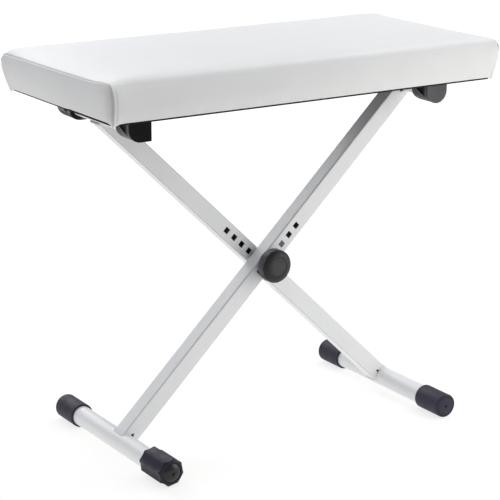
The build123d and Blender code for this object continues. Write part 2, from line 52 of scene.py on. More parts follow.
# ------------------------------------------------------------------ material helpers
class Mat:
    """A small wrapper that keeps node building short."""

    def __init__(self, name):
        self.m = bpy.data.materials.new(name)
        self.m.use_nodes = True
        self.nt = self.m.node_tree
        self.nt.nodes.clear()
        self.out = self.nt.nodes.new("ShaderNodeOutputMaterial")
        self.bsdf = self.nt.nodes.new("ShaderNodeBsdfPrincipled")
        self.nt.links.new(self.bsdf.outputs[0], self.out.inputs[0])
        self.tc = self.nt.nodes.new("ShaderNodeTexCoord").outputs["Object"]

    def put(self, socket, value):
        s = self.bsdf.inputs[socket]
        if hasattr(value, "is_linked") or hasattr(value, "links"):
            self.nt.links.new(value, s)
        else:
            s.default_value = value
        return self

    def link(self, a, b):
        self.nt.links.new(a, b)

    def node(self, kind, **kw):
        n = self.nt.nodes.new(kind)
        for k, v in kw.items():
            setattr(n, k, v)
        return n

    def scaled(self, factors, rot=(0, 0, 0)):
        n = self.node("ShaderNodeMapping")
        n.inputs["Scale"].default_value = factors
        n.inputs["Rotation"].default_value = rot
        self.link(self.tc, n.inputs["Vector"])
        return n.outputs[0]

    def noise(self, scale, detail=3.0, rough=0.55, vec=None, distortion=0.0):
        n = self.node("ShaderNodeTexNoise")
        n.inputs["Scale"].default_value = scale
        n.inputs["Detail"].default_value = detail
        n.inputs["Roughness"].default_value = rough
        n.inputs["Distortion"].default_value = distortion
        self.link(vec or self.tc, n.inputs["Vector"])
        return n.outputs["Fac"]

    def voronoi(self, scale, feature="F1", vec=None, randomness=1.0, out="Distance", smooth=None):
        n = self.node("ShaderNodeTexVoronoi", feature=feature)
        n.inputs["Scale"].default_value = scale
        n.inputs["Randomness"].default_value = randomness
        if smooth is not None:
            n.inputs["Smoothness"].default_value = smooth
        self.link(vec or self.tc, n.inputs["Vector"])
        return n.outputs[out]

    def remap(self, v, a, b, c, d, smooth=True):
        n = self.node("ShaderNodeMapRange", interpolation_type="SMOOTHSTEP" if smooth else "LINEAR")
        for k, x in zip(("From Min", "From Max", "To Min", "To Max"), (a, b, c, d)):
            n.inputs[k].default_value = x
        self.link(v, n.inputs["Value"])
        return n.outputs["Result"]

    def math(self, op, a, b=None, c=None, clamp=False):
        n = self.node("ShaderNodeMath", operation=op)
        n.use_clamp = clamp
        for i, x in enumerate((a, b, c)):
            if x is None:
                continue
            if isinstance(x, (int, float)):
                n.inputs[i].default_value = x
            else:
                self.link(x, n.inputs[i])
        return n.outputs[0]

    def mix(self, fac, a, b):
        n = self.node("ShaderNodeMix", data_type="RGBA")
        for i, x in ((6, a), (7, b)):
            if isinstance(x, tuple):
                n.inputs[i].default_value = (*x, 1.0)
            else:
                self.link(x, n.inputs[i])
        if isinstance(fac, (int, float)):
            n.inputs[0].default_value = fac
        else:
            self.link(fac, n.inputs[0])
        return n.outputs[2]

    def xyz(self):
        n = self.node("ShaderNodeSeparateXYZ")
        self.link(self.tc, n.inputs[0])
        return n.outputs

    def attr(self, name):
        n = self.node("ShaderNodeAttribute", attribute_name=name)
        return n.outputs["Fac"]

    def bump(self, height, strength, distance, normal=None):
        n = self.node("ShaderNodeBump")
        n.inputs["Strength"].default_value = strength
        n.inputs["Distance"].default_value = distance
        self.link(height, n.inputs["Height"])
        if normal is not None:
            self.link(normal, n.inputs["Normal"])
        return n.outputs[0]


def leatherette():
    m = Mat("white_leatherette")
    blot = m.noise(5.0, 3.0, 0.5)
    fine = m.noise(60.0, 4.0, 0.6)
    base = m.mix(m.remap(blot, 0.3, 0.7, 0.0, 1.0), (0.780, 0.780, 0.776), (0.802, 0.800, 0.795))
    base = m.mix(m.remap(fine, 0.35, 0.75, 0.0, 0.35), base, (0.790, 0.788, 0.780))
    # the seam lines are darkened within about a millimetre of the seam: painted shade in the seam groove
    seam = m.remap(m.attr("seam_mm"), 0.3, 1.3, 1.0, 0.0)
    base = m.mix(m.math("MULTIPLY", seam, 0.62), base, (0.50, 0.49, 0.48))
    # the upright corner seams get painted shade: a dark line at the seam itself, a soft brownish band a few millimetres
    # from it on the end panel, a fainter second crease line beside it on the long side, and the end panel painted
    # darker towards the corner
    up, end = m.attr("corner_seam_shade"), m.attr("end_face")
    side = m.math("SUBTRACT", 1.0, end)
    far = m.attr("seam_mm")
    wander = m.math("MULTIPLY_ADD", m.noise(60.0, 2.0), 2.0, 2.4)
    band = m.remap(m.math("ABSOLUTE", m.math("SUBTRACT", far, wander)), 0.8, 4.2, 1.0, 0.0)
    shade = m.math("MULTIPLY", m.math("MULTIPLY", band, end), 0.62)
    shade = m.math("MAXIMUM", shade, m.math("MULTIPLY", m.remap(far, 0.3, 1.8, 1.0, 0.0), 0.55))
    second = m.remap(m.math("ABSOLUTE", m.math("SUBTRACT", far, m.math("ADD", wander, 2.4))), 0.5, 2.0, 1.0, 0.0)
    shade = m.math("MAXIMUM", shade, m.math("MULTIPLY", m.math("MULTIPLY", second, side), 0.26))
    broad = m.math("MULTIPLY", m.math("MULTIPLY", m.remap(far, 2.0, 30.0, 1.0, 0.0), end), 0.34)
    base = m.mix(m.math("MULTIPLY", m.math("MAXIMUM", shade, broad), up), base, (0.42, 0.385, 0.36))
    m.put("Base Color", base)
    # rough-pored embossed grain: pebbles between a net of shallow creases, and tiny pores
    warp = m.node("ShaderNodeTexNoise")
    warp.inputs["Scale"].default_value = 260.0
    warp.inputs["Detail"].default_value = 1.0
    m.link(m.tc, warp.inputs["Vector"])
    add = m.node("ShaderNodeVectorMath", operation="MULTIPLY_ADD")
    add.inputs[1].default_value = (0.0011, 0.0011, 0.0011)
    m.link(warp.outputs["Color"], add.inputs[0])
    m.link(m.tc, add.inputs[2])
    pebble = m.voronoi(620.0, "DISTANCE_TO_EDGE", add.outputs[0])
    pebble = m.remap(pebble, 0.0, 0.28, 0.0, 1.0)
    pore = m.noise(2600.0, 2.0, 0.6)
    h = m.math("ADD", m.math("MULTIPLY", pebble, 0.75), m.math("MULTIPLY", pore, 0.25))
    n1 = m.bump(h, 0.35, 0.00016)
    # stitches pull the cloth in small dents along both sides of a seam
    near = m.remap(m.attr("seam_mm"), 0.8, 5.5, 1.0, 0.0)
    wave = m.math("SINE", m.math("MULTIPLY", m.attr("seam_run"), 2 * math.pi / 4.4))
    jitter = m.noise(180.0, 1.0)
    pull = m.math("MULTIPLY", m.math("MULTIPLY", wave, near), m.remap(jitter, 0.35, 0.65, 0.3, 1.0))
    n2 = m.bump(pull, 0.5, 0.00022, n1)
    m.put("Normal", n2)
    m.put("Roughness", m.remap(m.noise(90.0, 3.0), 0.3, 0.7, 0.44, 0.54))
    m.put("Specular IOR Level", 0.42)
    return m.m


def white_paint(axis=None):
    """Satin powder coat. axis: +1 or -1 for a square leg leaning that way, whose inside is bare steel, painted near
    black in the rear leg and a lighter grey in the front leg as painted shade and light.
    """
    m = Mat("white_paint" + ("" if axis is None else ("_front_leg" if axis > 0 else "_rear_leg")))
    blot = m.noise(9.0, 3.0, 0.5)
    base = m.mix(m.remap(blot, 0.3, 0.7, 0.0, 1.0), (0.768, 0.772, 0.777), (0.800, 0.803, 0.806))
    speck = m.remap(m.voronoi(420.0, "F1"), 0.0, 0.09, 1.0, 0.0)
    base = m.mix(m.math("MULTIPLY", speck, 0.12), base, (0.60, 0.60, 0.60))
    rough = m.remap(m.noise(120.0, 3.0), 0.3, 0.7, *((0.46, 0.56) if axis is None else (0.30, 0.40)))
    if axis is not None:
        # across-leg distance from the leg's own centre plane, and the same front to back
        dot = m.node("ShaderNodeVectorMath", operation="DOT_PRODUCT")
        sub = m.node("ShaderNodeVectorMath", operation="SUBTRACT")
        m.link(m.tc, sub.inputs[0])
        y_mid = (Y_FRONT_LEG if axis > 0 else Y_REAR_LEG) / 1000.0
        sub.inputs[1].default_value = (0.0, y_mid, BOLT_Z / 1000.0)
        m.link(sub.outputs[0], dot.inputs[0])
        dot.inputs[1].default_value = (CS, 0.0, -axis * SN)
        across = m.math("ABSOLUTE", dot.outputs["Value"])
        sep = m.node("ShaderNodeSeparateXYZ")
        m.link(sub.outputs[0], sep.inputs[0])
        deep = m.math("ABSOLUTE", sep.outputs["Y"])
        inside = m.math("MULTIPLY", m.remap(across, 0.01105, 0.0115, 1.0, 0.0), m.remap(deep, 0.01105, 0.0115, 1.0, 0.0))
        # only between the axes of the two round tubes
        run = m.node("ShaderNodeVectorMath", operation="DOT_PRODUCT")
        m.link(sub.outputs[0], run.inputs[0])
        run.inputs[1].default_value = (axis * SN, 0.0, CS)
        inside = m.math("MULTIPLY", inside, m.remap(run.outputs["Value"], -0.3140, -0.3138, 0.0, 1.0, False))
        inside = m.math("MULTIPLY", inside, m.remap(run.outputs["Value"], 0.3233, 0.3235, 1.0, 0.0, False))
        # bare steel inside the legs, its tone also painted light and shade: near black inside the rear leg as painted
        # shade, a lighter grey inside the front leg as painted light
        bare_steel_and_painted_light = m.mix(m.remap(m.noise(55.0, 4.0), 0.4, 0.7, 0.0, 1.0), (0.030, 0.029, 0.032), (0.050, 0.043, 0.040)) if axis < 0 else m.mix(m.remap(m.noise(55.0, 4.0), 0.4, 0.7, 0.0, 1.0), (0.150, 0.125, 0.140), (0.190, 0.160, 0.172))
        base = m.mix(inside, base, bare_steel_and_painted_light)
        # painted shade: a darker line along the four rounded corners
        corner_shade_line = m.math("MULTIPLY", m.remap(across, 0.0112, 0.0117, 0.0, 1.0), m.remap(deep, 0.0112, 0.0117, 0.0, 1.0))
        corner_shade_line = m.math("MULTIPLY", corner_shade_line, m.remap(m.math("MAXIMUM", across, deep), 0.0127, 0.0129, 1.0, 0.0))
        corner_shade_line = m.math("MULTIPLY", corner_shade_line, m.remap(m.math("ABSOLUTE", run.outputs["Value"]), 0.312, 0.314, 1.0, 0.0))
        base = m.mix(m.math("MULTIPLY", corner_shade_line, m.remap(m.noise(90.0, 2.0), 0.3, 0.7, 0.45, 0.65)), base, (0.40, 0.40, 0.41))
        rough = m.math("MULTIPLY_ADD", inside, 0.22, rough)
    m.put("Base Color", base)
    m.put("Roughness", rough)
    peel = m.noise(520.0, 2.0, 0.5)
    m.put("Normal", m.bump(peel, 0.22, 0.00005))
    m.put("Specular IOR Level", 0.5)
    return m.m


def moulded(name, dark, light, rough=(0.40, 0.52), grain=2400.0, strength=0.3, spec=0.5, edge=None):
    """Moulded plastic or rubber with a fine etched texture and faint flow marks."""
    m = Mat(name)
    flow = m.noise(22.0, 4.0, 0.6, m.scaled((1.0, 0.35, 1.0)))
    base = m.mix(m.remap(flow, 0.3, 0.7, 0.0, 1.0), dark, light)
    dust = m.remap(m.noise(420.0, 3.0, 0.7), 0.58, 0.80, 0.0, 0.22)
    base = m.mix(dust, base, tuple(min(1.0, 2.2 * c + 0.02) for c in light))
    m.put("Base Color", base)
    m.put("Roughness", m.remap(m.noise(70.0, 3.0), 0.3, 0.7, *rough))
    m.put("Specular IOR Level", spec)
    m.put("Normal", m.bump(m.noise(grain, 2.0, 0.6), strength, 0.00006))
    return m.m


# ------------------------------------------------------------------ finishes of the CAD nodes
def bracket_material():
    """Moulded bearing with painted light and shade: the rear brackets painted paler, a side pocket painted dark with a
    painted highlight on the ledge under it, matt end plates with painted light and shade, and dust specks.
    """
    m = Mat("bracket_black_plastic")
    x, y, z = m.xyz()
    flow = m.noise(30.0, 4.0, 0.6)
    base = m.mix(m.remap(flow, 0.3, 0.7, 0.0, 1.0), (0.022, 0.019, 0.030), (0.033, 0.029, 0.044))
    # painted light: the rear brackets, behind the middle, are painted paler than the front ones
    base = m.mix(m.remap(y, -0.001, 0.001, 0.0, 1.0, False), base, (0.110, 0.104, 0.128))
    # place in the bracket: distance from the tube's middle plane, and from the bracket's front face
    cross = m.math("ABSOLUTE", m.math("SUBTRACT", m.math("ABSOLUTE", x), TOP_X / 1000.0))
    back = m.remap(y, -0.001, 0.001, 0.0, 1.0, False)
    depth = m.math("SUBTRACT", m.math("SUBTRACT", y, -0.097), m.math("MULTIPLY", back, 0.1623))
    high = m.math("SUBTRACT", z, TOP_Z / 1000.0)
    # height over the pocket's slanting ledge
    over = m.math("SUBTRACT", high, m.math("MULTIPLY_ADD", depth, 0.5529, -0.01371))
    in_run = m.math("MULTIPLY", m.remap(depth, 0.0045, 0.0125, 0.0, 1.0), m.remap(depth, 0.0294, 0.0298, 1.0, 0.0, False))
    in_wall = m.math("MULTIPLY", m.remap(cross, 0.01445, 0.01455, 0.0, 1.0, False), m.remap(cross, 0.0162, 0.0166, 1.0, 0.0, False))
    # a hook has its pocket on the outer side only
    outer = m.math("MAXIMUM", m.remap(x, -0.2355, -0.2345, 1.0, 0.0, False), m.remap(x, -0.01, 0.01, 0.0, 1.0, False))
    in_wall = m.math("MULTIPLY", in_wall, outer)
    # painted shade: the pocket over the slanting ledge is painted near black
    pocket_shade = m.math("MULTIPLY", m.math("MULTIPLY", in_run, in_wall), m.remap(over, 0.00005, 0.0003, 0.0, 1.0, False))
    base = m.mix(pocket_shade, base, (0.006, 0.006, 0.007))
    # painted highlight: the narrow ledge under the pocket is painted pale
    ledge_highlight = m.math("MULTIPLY", m.remap(m.math("ABSOLUTE", m.math("ADD", over, 0.00035)), 0.00035, 0.0007, 1.0, 0.0),
                   m.math("MULTIPLY", m.remap(depth, 0.0115, 0.0135, 0.0, 1.0), m.remap(depth, 0.0288, 0.0298, 1.0, 0.0)))
    ledge_highlight = m.math("MULTIPLY", m.math("MULTIPLY", ledge_highlight, outer), m.remap(cross, 0.0144, 0.0148, 0.0, 1.0, False))
    base = m.mix(m.math("MULTIPLY", ledge_highlight, 0.85), base, (0.36, 0.35, 0.39))
    # front plates: y between -97 and -94.6, painted a lighter grey as painted light; the left-hand ones are painted
    # almost black as painted shade
    front = m.remap(y, -0.0966, -0.0962, 1.0, 0.0)
    left_plate_shade = m.math("MULTIPLY", front, m.remap(x, -0.01, 0.01, 1.0, 0.0))
    base = m.mix(m.math("MULTIPLY", front, 0.9), base, (0.052, 0.050, 0.062))
    # painted highlight: a pale ring at the front plate's edge, and painted shadow: a dark outline beyond it
    below = m.math("MINIMUM", high, 0.0)
    reach = m.math("SQRT", m.math("ADD", m.math("MULTIPLY", cross, cross), m.math("MULTIPLY", below, below)))
    ring = m.remap(m.math("ABSOLUTE", m.math("SUBTRACT", reach, 0.0158)), 0.0002, 0.0006, 1.0, 0.0)
    base = m.mix(m.math("MULTIPLY", m.math("MULTIPLY", ring, front), 0.6), base, (0.100, 0.098, 0.115))
    base = m.mix(m.math("MULTIPLY", m.math("MULTIPLY", m.remap(reach, 0.0164, 0.0167, 0.0, 1.0), front), 0.8), base, (0.008, 0.008, 0.010))
    # painted shade: the left-hand front plates almost black
    base = m.mix(left_plate_shade, base, (0.0065, 0.0065, 0.0075))
    # painted shadow: the rims of both end plates are painted darker than their faces
    painted_rim_shading = m.math("MULTIPLY", m.remap(depth, 0.0021, 0.0026, 1.0, 0.0), m.remap(y, -0.09695, -0.0966, 0.0, 1.0))
    painted_rim_shading = m.math("MULTIPLY", painted_rim_shading, m.math("SUBTRACT", 1.0, back))
    base = m.mix(m.math("MULTIPLY", painted_rim_shading, 0.9), base, (0.005, 0.005, 0.006))
    # rear brackets are open to the front; their inside is painted black as painted shade
    hole_shade = m.math("MULTIPLY", back, m.remap(cross, 0.0147, 0.0150, 1.0, 0.0, False))
    hole_shade = m.math("MULTIPLY", hole_shade, m.remap(high, -0.0150, -0.0147, 0.0, 1.0, False))
    base = m.mix(m.math("MULTIPLY", hole_shade, m.math("SUBTRACT", 1.0, pocket_shade)), base, (0.010, 0.009, 0.012))
    dust = m.remap(m.noise(380.0, 3.0, 0.7), 0.60, 0.82, 0.0, 0.12)
    base = m.mix(m.math("MULTIPLY", dust, m.math("SUBTRACT", 1.0, m.math("MAXIMUM", pocket_shade, left_plate_shade))), base, (0.14, 0.14, 0.15))
    m.put("Base Color", base)
    m.put("Roughness", m.math("MULTIPLY_ADD", m.math("MAXIMUM", pocket_shade, left_plate_shade), 0.22, m.remap(m.noise(70.0, 3.0), 0.3, 0.7, 0.42, 0.52)))
    m.put("Specular IOR Level", m.math("MULTIPLY_ADD", m.math("MAXIMUM", m.math("MAXIMUM", pocket_shade, left_plate_shade), hole_shade), -0.32, 0.45))
    m.put("Normal", m.bump(m.noise(2600.0, 2.0, 0.6), 0.25, 0.00005))
    return m.m


def knob_material():
    m = Mat("knob_black_plastic")
    flow = m.noise(26.0, 4.0, 0.6)
    base = m.mix(m.remap(flow, 0.3, 0.7, 0.0, 1.0), (0.0075, 0.0066, 0.0076), (0.0125, 0.0112, 0.0132))
    # painted sheen: the side wall, from a radius of about 22 mm out, is painted a patchy lavender grey
    sub = m.node("ShaderNodeVectorMath", operation="SUBTRACT")
    m.link(m.tc, sub.inputs[0])
    sub.inputs[1].default_value = (0.0, 0.0, BOLT_Z / 1000.0)
    sc = m.node("ShaderNodeVectorMath", operation="MULTIPLY")
    m.link(sub.outputs[0], sc.inputs[0])
    sc.inputs[1].default_value = (1.0, 0.0, 1.0)
    ln = m.node("ShaderNodeVectorMath", operation="LENGTH")
    m.link(sc.outputs[0], ln.inputs[0])
    painted_rim_shading = m.math("MULTIPLY", m.remap(ln.outputs["Value"], 0.0222, 0.0230, 0.0, 1.0), m.remap(m.noise(150.0, 4.0, 0.7), 0.42, 0.62, 0.35, 1.0))
    base = m.mix(m.math("MULTIPLY", painted_rim_shading, 0.85), base, (0.112, 0.098, 0.142))
    m.put("Base Color", base)
    m.put("Roughness", m.remap(m.noise(80.0, 3.0), 0.3, 0.7, 0.46, 0.58))
    m.put("Specular IOR Level", 0.42)
    m.put("Normal", m.bump(m.noise(2300.0, 2.0, 0.6), 0.35, 0.00007))
    return m.m


def disc_material():
    """Centre disc: fine turned rings."""
    m = Mat("knob_disc_plastic")
    sub = m.node("ShaderNodeVectorMath", operation="SUBTRACT")
    m.link(m.tc, sub.inputs[0])
    sub.inputs[1].default_value = (0.0, 0.0, BOLT_Z / 1000.0)
    sc = m.node("ShaderNodeVectorMath", operation="MULTIPLY")
    m.link(sub.outputs[0], sc.inputs[0])
    sc.inputs[1].default_value = (1.0, 0.0, 1.0)
    ln = m.node("ShaderNodeVectorMath", operation="LENGTH")
    m.link(sc.outputs[0], ln.inputs[0])
    rings = m.math("SINE", m.math("MULTIPLY", ln.outputs["Value"], 2 * math.pi / 0.00055))
    base = m.mix(m.remap(m.noise(60.0, 3.0), 0.3, 0.7, 0.0, 1.0), (0.016, 0.015, 0.016), (0.026, 0.025, 0.027))
    m.put("Base Color", base)
    m.put("Roughness", m.remap(m.noise(140.0, 3.0), 0.3, 0.7, 0.34, 0.46))
    m.put("Normal", m.bump(rings, 0.25, 0.00003))
    return m.m


def steel(name, col=(0.63, 0.635, 0.64), rough=(0.26, 0.38), metallic=1.0):
    m = Mat(name)
    n = m.noise(160.0, 4.0, 0.65, m.scaled((1.0, 1.0, 6.0)))
    base = m.mix(m.remap(n, 0.3, 0.7, 0.0, 1.0), tuple(0.86 * c for c in col), col)
    m.put("Base Color", base)
    m.put("Metallic", metallic)
    m.put("Roughness", m.remap(n, 0.3, 0.7, *rough))
    m.put("Normal", m.bump(m.noise(900.0, 3.0), 0.15, 0.00004))
    return m.m


def hardboard():
    m = Mat("black_hardboard")
    fibre = m.noise(300.0, 5.0, 0.7, m.scaled((1.0, 5.0, 1.0)))
    base = m.mix(m.remap(fibre, 0.35, 0.7, 0.0, 1.0), (0.007, 0.007, 0.008), (0.018, 0.017, 0.019))
    m.put("Base Color", base)
    m.put("Roughness", m.remap(fibre, 0.3, 0.7, 0.65, 0.8))
    m.put("Specular IOR Level", 0.2)
    m.put("Normal", m.bump(fibre, 0.3, 0.0001))
    return m.m


def plywood():
    m = Mat("plywood")
    x, y, z = m.xyz()
    ply = m.math("FRACT", m.math("MULTIPLY", z, 1 / 0.0024))
    grain = m.noise(24.0, 6.0, 0.65, m.scaled((1.0, 14.0, 1.0)), 0.6)
    base = m.mix(m.remap(grain, 0.35, 0.68, 0.0, 1.0), (0.62, 0.46, 0.28), (0.76, 0.60, 0.40))
    base = m.mix(m.remap(ply, 0.0, 0.16, 0.45, 0.0), base, (0.40, 0.27, 0.15))
    m.put("Base Color", base)
    m.put("Roughness", 0.7)
    m.put("Normal", m.bump(grain, 0.2, 0.0002))
    return m.m


def foam_material():
    m = Mat("foam")
    cell = m.voronoi(1400.0, "F1")
    base = m.mix(m.remap(cell, 0.0, 0.7, 0.0, 1.0), (0.70, 0.66, 0.52), (0.88, 0.84, 0.70))
    m.put("Base Color", base)
    m.put("Roughness", 0.9)
    m.put("Normal", m.bump(cell, 0.5, 0.0004))
    return m.m


MATS = {
    "white": white_paint(),
    "white_front_leg": white_paint(1),
    "white_rear_leg": white_paint(-1),
    "leatherette": leatherette(),
    "bracket": bracket_material(),
    "knob": knob_material(),
    "disc": disc_material(),
    "rubber": moulded("cap_rubber", (0.022, 0.019, 0.035), (0.031, 0.026, 0.049), (0.52, 0.62), 1500.0, 0.4, 0.32),
    "fluted": moulded("levelling_rubber", (0.0065, 0.005, 0.017), (0.011, 0.0085, 0.027), (0.46, 0.56), 1700.0, 0.35, 0.30),
    "dome": moulded("levelling_plug", (0.005, 0.0045, 0.006), (0.008, 0.0075, 0.009), (0.26, 0.32), 2600.0, 0.1, 0.42),
    "pad": moulded("pad_plastic", (0.014, 0.013, 0.015), (0.022, 0.021, 0.024), (0.40, 0.50), 2200.0, 0.3, 0.45),
    "plug": moulded("plug_plastic", (0.106, 0.107, 0.143), (0.130, 0.131, 0.172), (0.45, 0.55), 2400.0, 0.3, 0.4),
    "strip": moulded("strip_plastic", (0.170, 0.165, 0.215), (0.210, 0.205, 0.262), (0.55, 0.65), 1200.0, 0.3, 0.3),
    "washer": moulded("washer_plastic", (0.012, 0.012, 0.013), (0.020, 0.020, 0.022), (0.35, 0.45), 2600.0, 0.2, 0.5),
    "zinc": steel("zinc_steel"),
    "black_steel": steel("black_steel", (0.075, 0.075, 0.08), (0.40, 0.52)),
    "staple": steel("staple_steel", (0.58, 0.57, 0.55), (0.30, 0.45)),
    "hardboard": hardboard(),
    "plywood": plywood(),
    "foam": foam_material(),
}
ASSIGN = {
    "seat_cover": "leatherette", "seat_foam": "foam", "seat_board": "plywood", "underside_panel": "hardboard",
    "panel_staples": "staple", "bracket_front_left": "bracket", "bracket_rear_left": "bracket",
    "bracket_front_right": "bracket", "bracket_rear_right": "bracket", "bracket_screws": "black_steel",
    "front_leg": "white_front_leg", "front_leg_foot_tube": "white_front_leg", "front_leg_cross_tube": "white_front_leg",
    "rear_leg": "white_rear_leg", "rear_leg_foot_tube": "white_rear_leg", "rear_leg_cross_tube": "white_rear_leg",
    "foot_cap_rear_left": "rubber", "foot_cap_front_right": "rubber", "foot_cap_rear_right": "rubber",
    "levelling_cap": "fluted", "levelling_cap_plug": "dome", "pivot_bolt": "zinc", "leg_spacer_washer": "washer",
    "front_leg_plug": "plug", "rear_leg_strip": "strip", "pressure_pad": "pad", "knob_body": "knob", "knob_nut": "zinc", "knob_centre_disc": "disc",
}
for name, node in NODES.items():
    mat = MATS[ASSIGN[name]]
    if not node.material_slots:
        node.data.materials.append(mat)
    for slot in node.material_slots:
        slot.material = mat


def new_object(name, points, faces, mat, smooth=True):
    me = bpy.data.meshes.new(name)
    me.from_pydata([tuple(p) for p in points], [], [tuple(f) for f in faces])
    me.materials.append(mat)
    me.update()
    if smooth:
        me.shade_smooth()
    ob = bpy.data.objects.new(name, me)
    bpy.context.scene.collection.objects.link(ob)
    return ob


# ---- cushion: sizes in millimetres
FOLD_Z = 485.15          # folded hem under the board
EDGE_Z = 487.7           # where the side turns under


def spline(points, n=400):
    """Dense centripetal Catmull-Rom curve through the points."""
    p = np.array(points, float)
    p = np.vstack([2 * p[0] - p[1], p, 2 * p[-1] - p[-2]])
    out = []
    for i in range(1, len(p) - 2):
        p0, p1, p2, p3 = p[i - 1], p[i], p[i + 1], p[i + 2]
        t0 = 0.0
        t1 = t0 + max(np.linalg.norm(p1 - p0), 1e-9) ** 0.5
        t2 = t1 + max(np.linalg.norm(p2 - p1), 1e-9) ** 0.5
        t3 = t2 + max(np.linalg.norm(p3 - p2), 1e-9) ** 0.5
        t = np.linspace(t1, t2, n, endpoint=False)[:, None]
        a1 = (t1 - t) / (t1 - t0) * p0 + (t - t0) / (t1 - t0) * p1
        a2 = (t2 - t) / (t2 - t1) * p1 + (t - t1) / (t2 - t1) * p2
        a3 = (t3 - t) / (t3 - t2) * p2 + (t - t2) / (t3 - t2) * p3
        b1 = (t2 - t) / (t2 - t0) * a1 + (t - t0) / (t2 - t0) * a2
        b2 = (t3 - t) / (t3 - t1) * a2 + (t - t1) / (t3 - t1) * a3
        out.append((t2 - t) / (t2 - t1) * b1 + (t - t1) / (t2 - t1) * b2)
    out.append(p[-2][None])
    return np.vstack(out)


def resample(curve, u):
    """Points at fractions u of the curve's length."""
    s = np.r_[0, np.cumsum(np.linalg.norm(np.diff(curve, axis=0), axis=1))]
    return np.stack([np.interp(np.asarray(u) * s[-1], s, curve[:, k]) for k in range(curve.shape[1])], -1)


# half cross-section in the middle of the length: (distance from the centre line, height)
MID_SIDE = [(143.2, 487.7), (145.1, 492.3), (147.9, 499.5), (149.7, 507.0), (150.4, 514.0),
            (149.9, 520.0), (148.7, 525.4), (146.8, 530.2)]
MID_TOP = [(146.8, 530.2), (144.6, 534.2), (141.6, 537.3), (137.4, 539.3), (132.0, 540.2), (120.0, 540.5), (88.0, 540.8),
           (0.0, 541.0)]
# the same at the end seams: (end, side)
END_SIDE = {(-1, -1): [(144.4, 487.7), (146.2, 492.3), (148.6, 499.5), (150.2, 507.0), (150.9, 514.0),
                       (150.4, 520.5), (148.8, 526.4), (145.6, 531.6)],
            (-1, 1): [(144.4, 487.7), (146.2, 492.3), (148.6, 499.5), (150.2, 507.0), (150.9, 513.4),
                      (150.4, 519.0), (149.0, 524.2), (146.6, 528.2)],
            (1, -1): [(142.6, 487.7), (144.5, 492.3), (147.2, 499.5), (149.0, 507.0), (149.6, 514.0),
                      (149.2, 520.5), (148.0, 526.4), (145.4, 531.6)]}
END_SIDE[1, 1] = END_SIDE[1, -1]
END_TOP = {(-1, -1): [(145.6, 531.6), (142.4, 534.4), (137.4, 535.8), (131.0, 535.6), (121.0, 534.7), (106.0, 533.3),
                      (88.0, 532.6), (50.0, 532.5), (0.0, 532.6)],
           (-1, 1): [(146.6, 528.2), (143.8, 530.2), (139.5, 531.4), (133.0, 532.0), (121.0, 532.4), (106.0, 532.6),
                     (88.0, 532.9), (50.0, 532.8), (0.0, 532.6)],
           (1, -1): [(145.4, 531.6), (142.4, 534.8), (137.4, 537.0), (131.0, 537.6), (121.0, 537.3), (106.0, 536.8),
                     (88.0, 536.5), (50.0, 536.4), (0.0, 536.4)]}
END_TOP[1, 1] = END_TOP[1, -1]
# corner seams' distance from the middle of the length, against height: (end, side)
SEAM_Z = [484.7, 487.7, 500.0, 513.0, 524.0, 531.0, 537.0]
SEAM_X = {(-1, -1): [299.2, 299.5, 300.4, 301.4, 302.2, 303.0, 303.6],
          (-1, 1): [298.2, 300.2, 305.6, 308.9, 309.4, 308.4, 306.2],
          (1, -1): [294.9, 295.6, 297.8, 299.6, 300.4, 300.2, 299.6],
          (1, 1): [294.9, 295.6, 297.8, 299.6, 300.4, 300.2, 299.6]}
BULGE = {-1: 3.4, 1: 2.8}
SHOULDER = {-1: 62.0, 1: 44.0}      # how far the top falls away towards each end
SHOULDER_P = {(-1, -1): 2.6, (-1, 1): 8.0, (1, -1): 2.8, (1, 1): 2.8}

NEAR = [0, .7, 1.4, 2.2, 3.2, 4.6, 6.5, 9, 12, 15.5, 19.5, 24, 29, 34.5, 40.5]


def stations(length, near_lo, near_hi, step):
    lo, hi = list(near_lo), [length - v for v in reversed(near_hi)]
    n = max(1, int(round((hi[0] - lo[-1]) / step)))
    mid = list(np.linspace(lo[-1], hi[0], n + 1))[1:-1]
    return np.array(lo + mid + hi) / length


def lattice(fine=True):
    """Fractions along (a), across the top (b) and up the sides (c)."""
    if fine:
        a = stations(605.0, NEAR, NEAR, 6.2)
        b = stations(300.0, NEAR, NEAR, 6.2)
        c = stations(43.5, [0, 1.2, 3.0, 5.5, 8.5, 12.0, 16.0, 20.0, 24.0], NEAR[:9], 4.0)
    else:
        a = np.linspace(0, 1, 101)
        b = np.linspace(0, 1, 51)
        c = np.linspace(0, 1, 9)
    return a, b, c


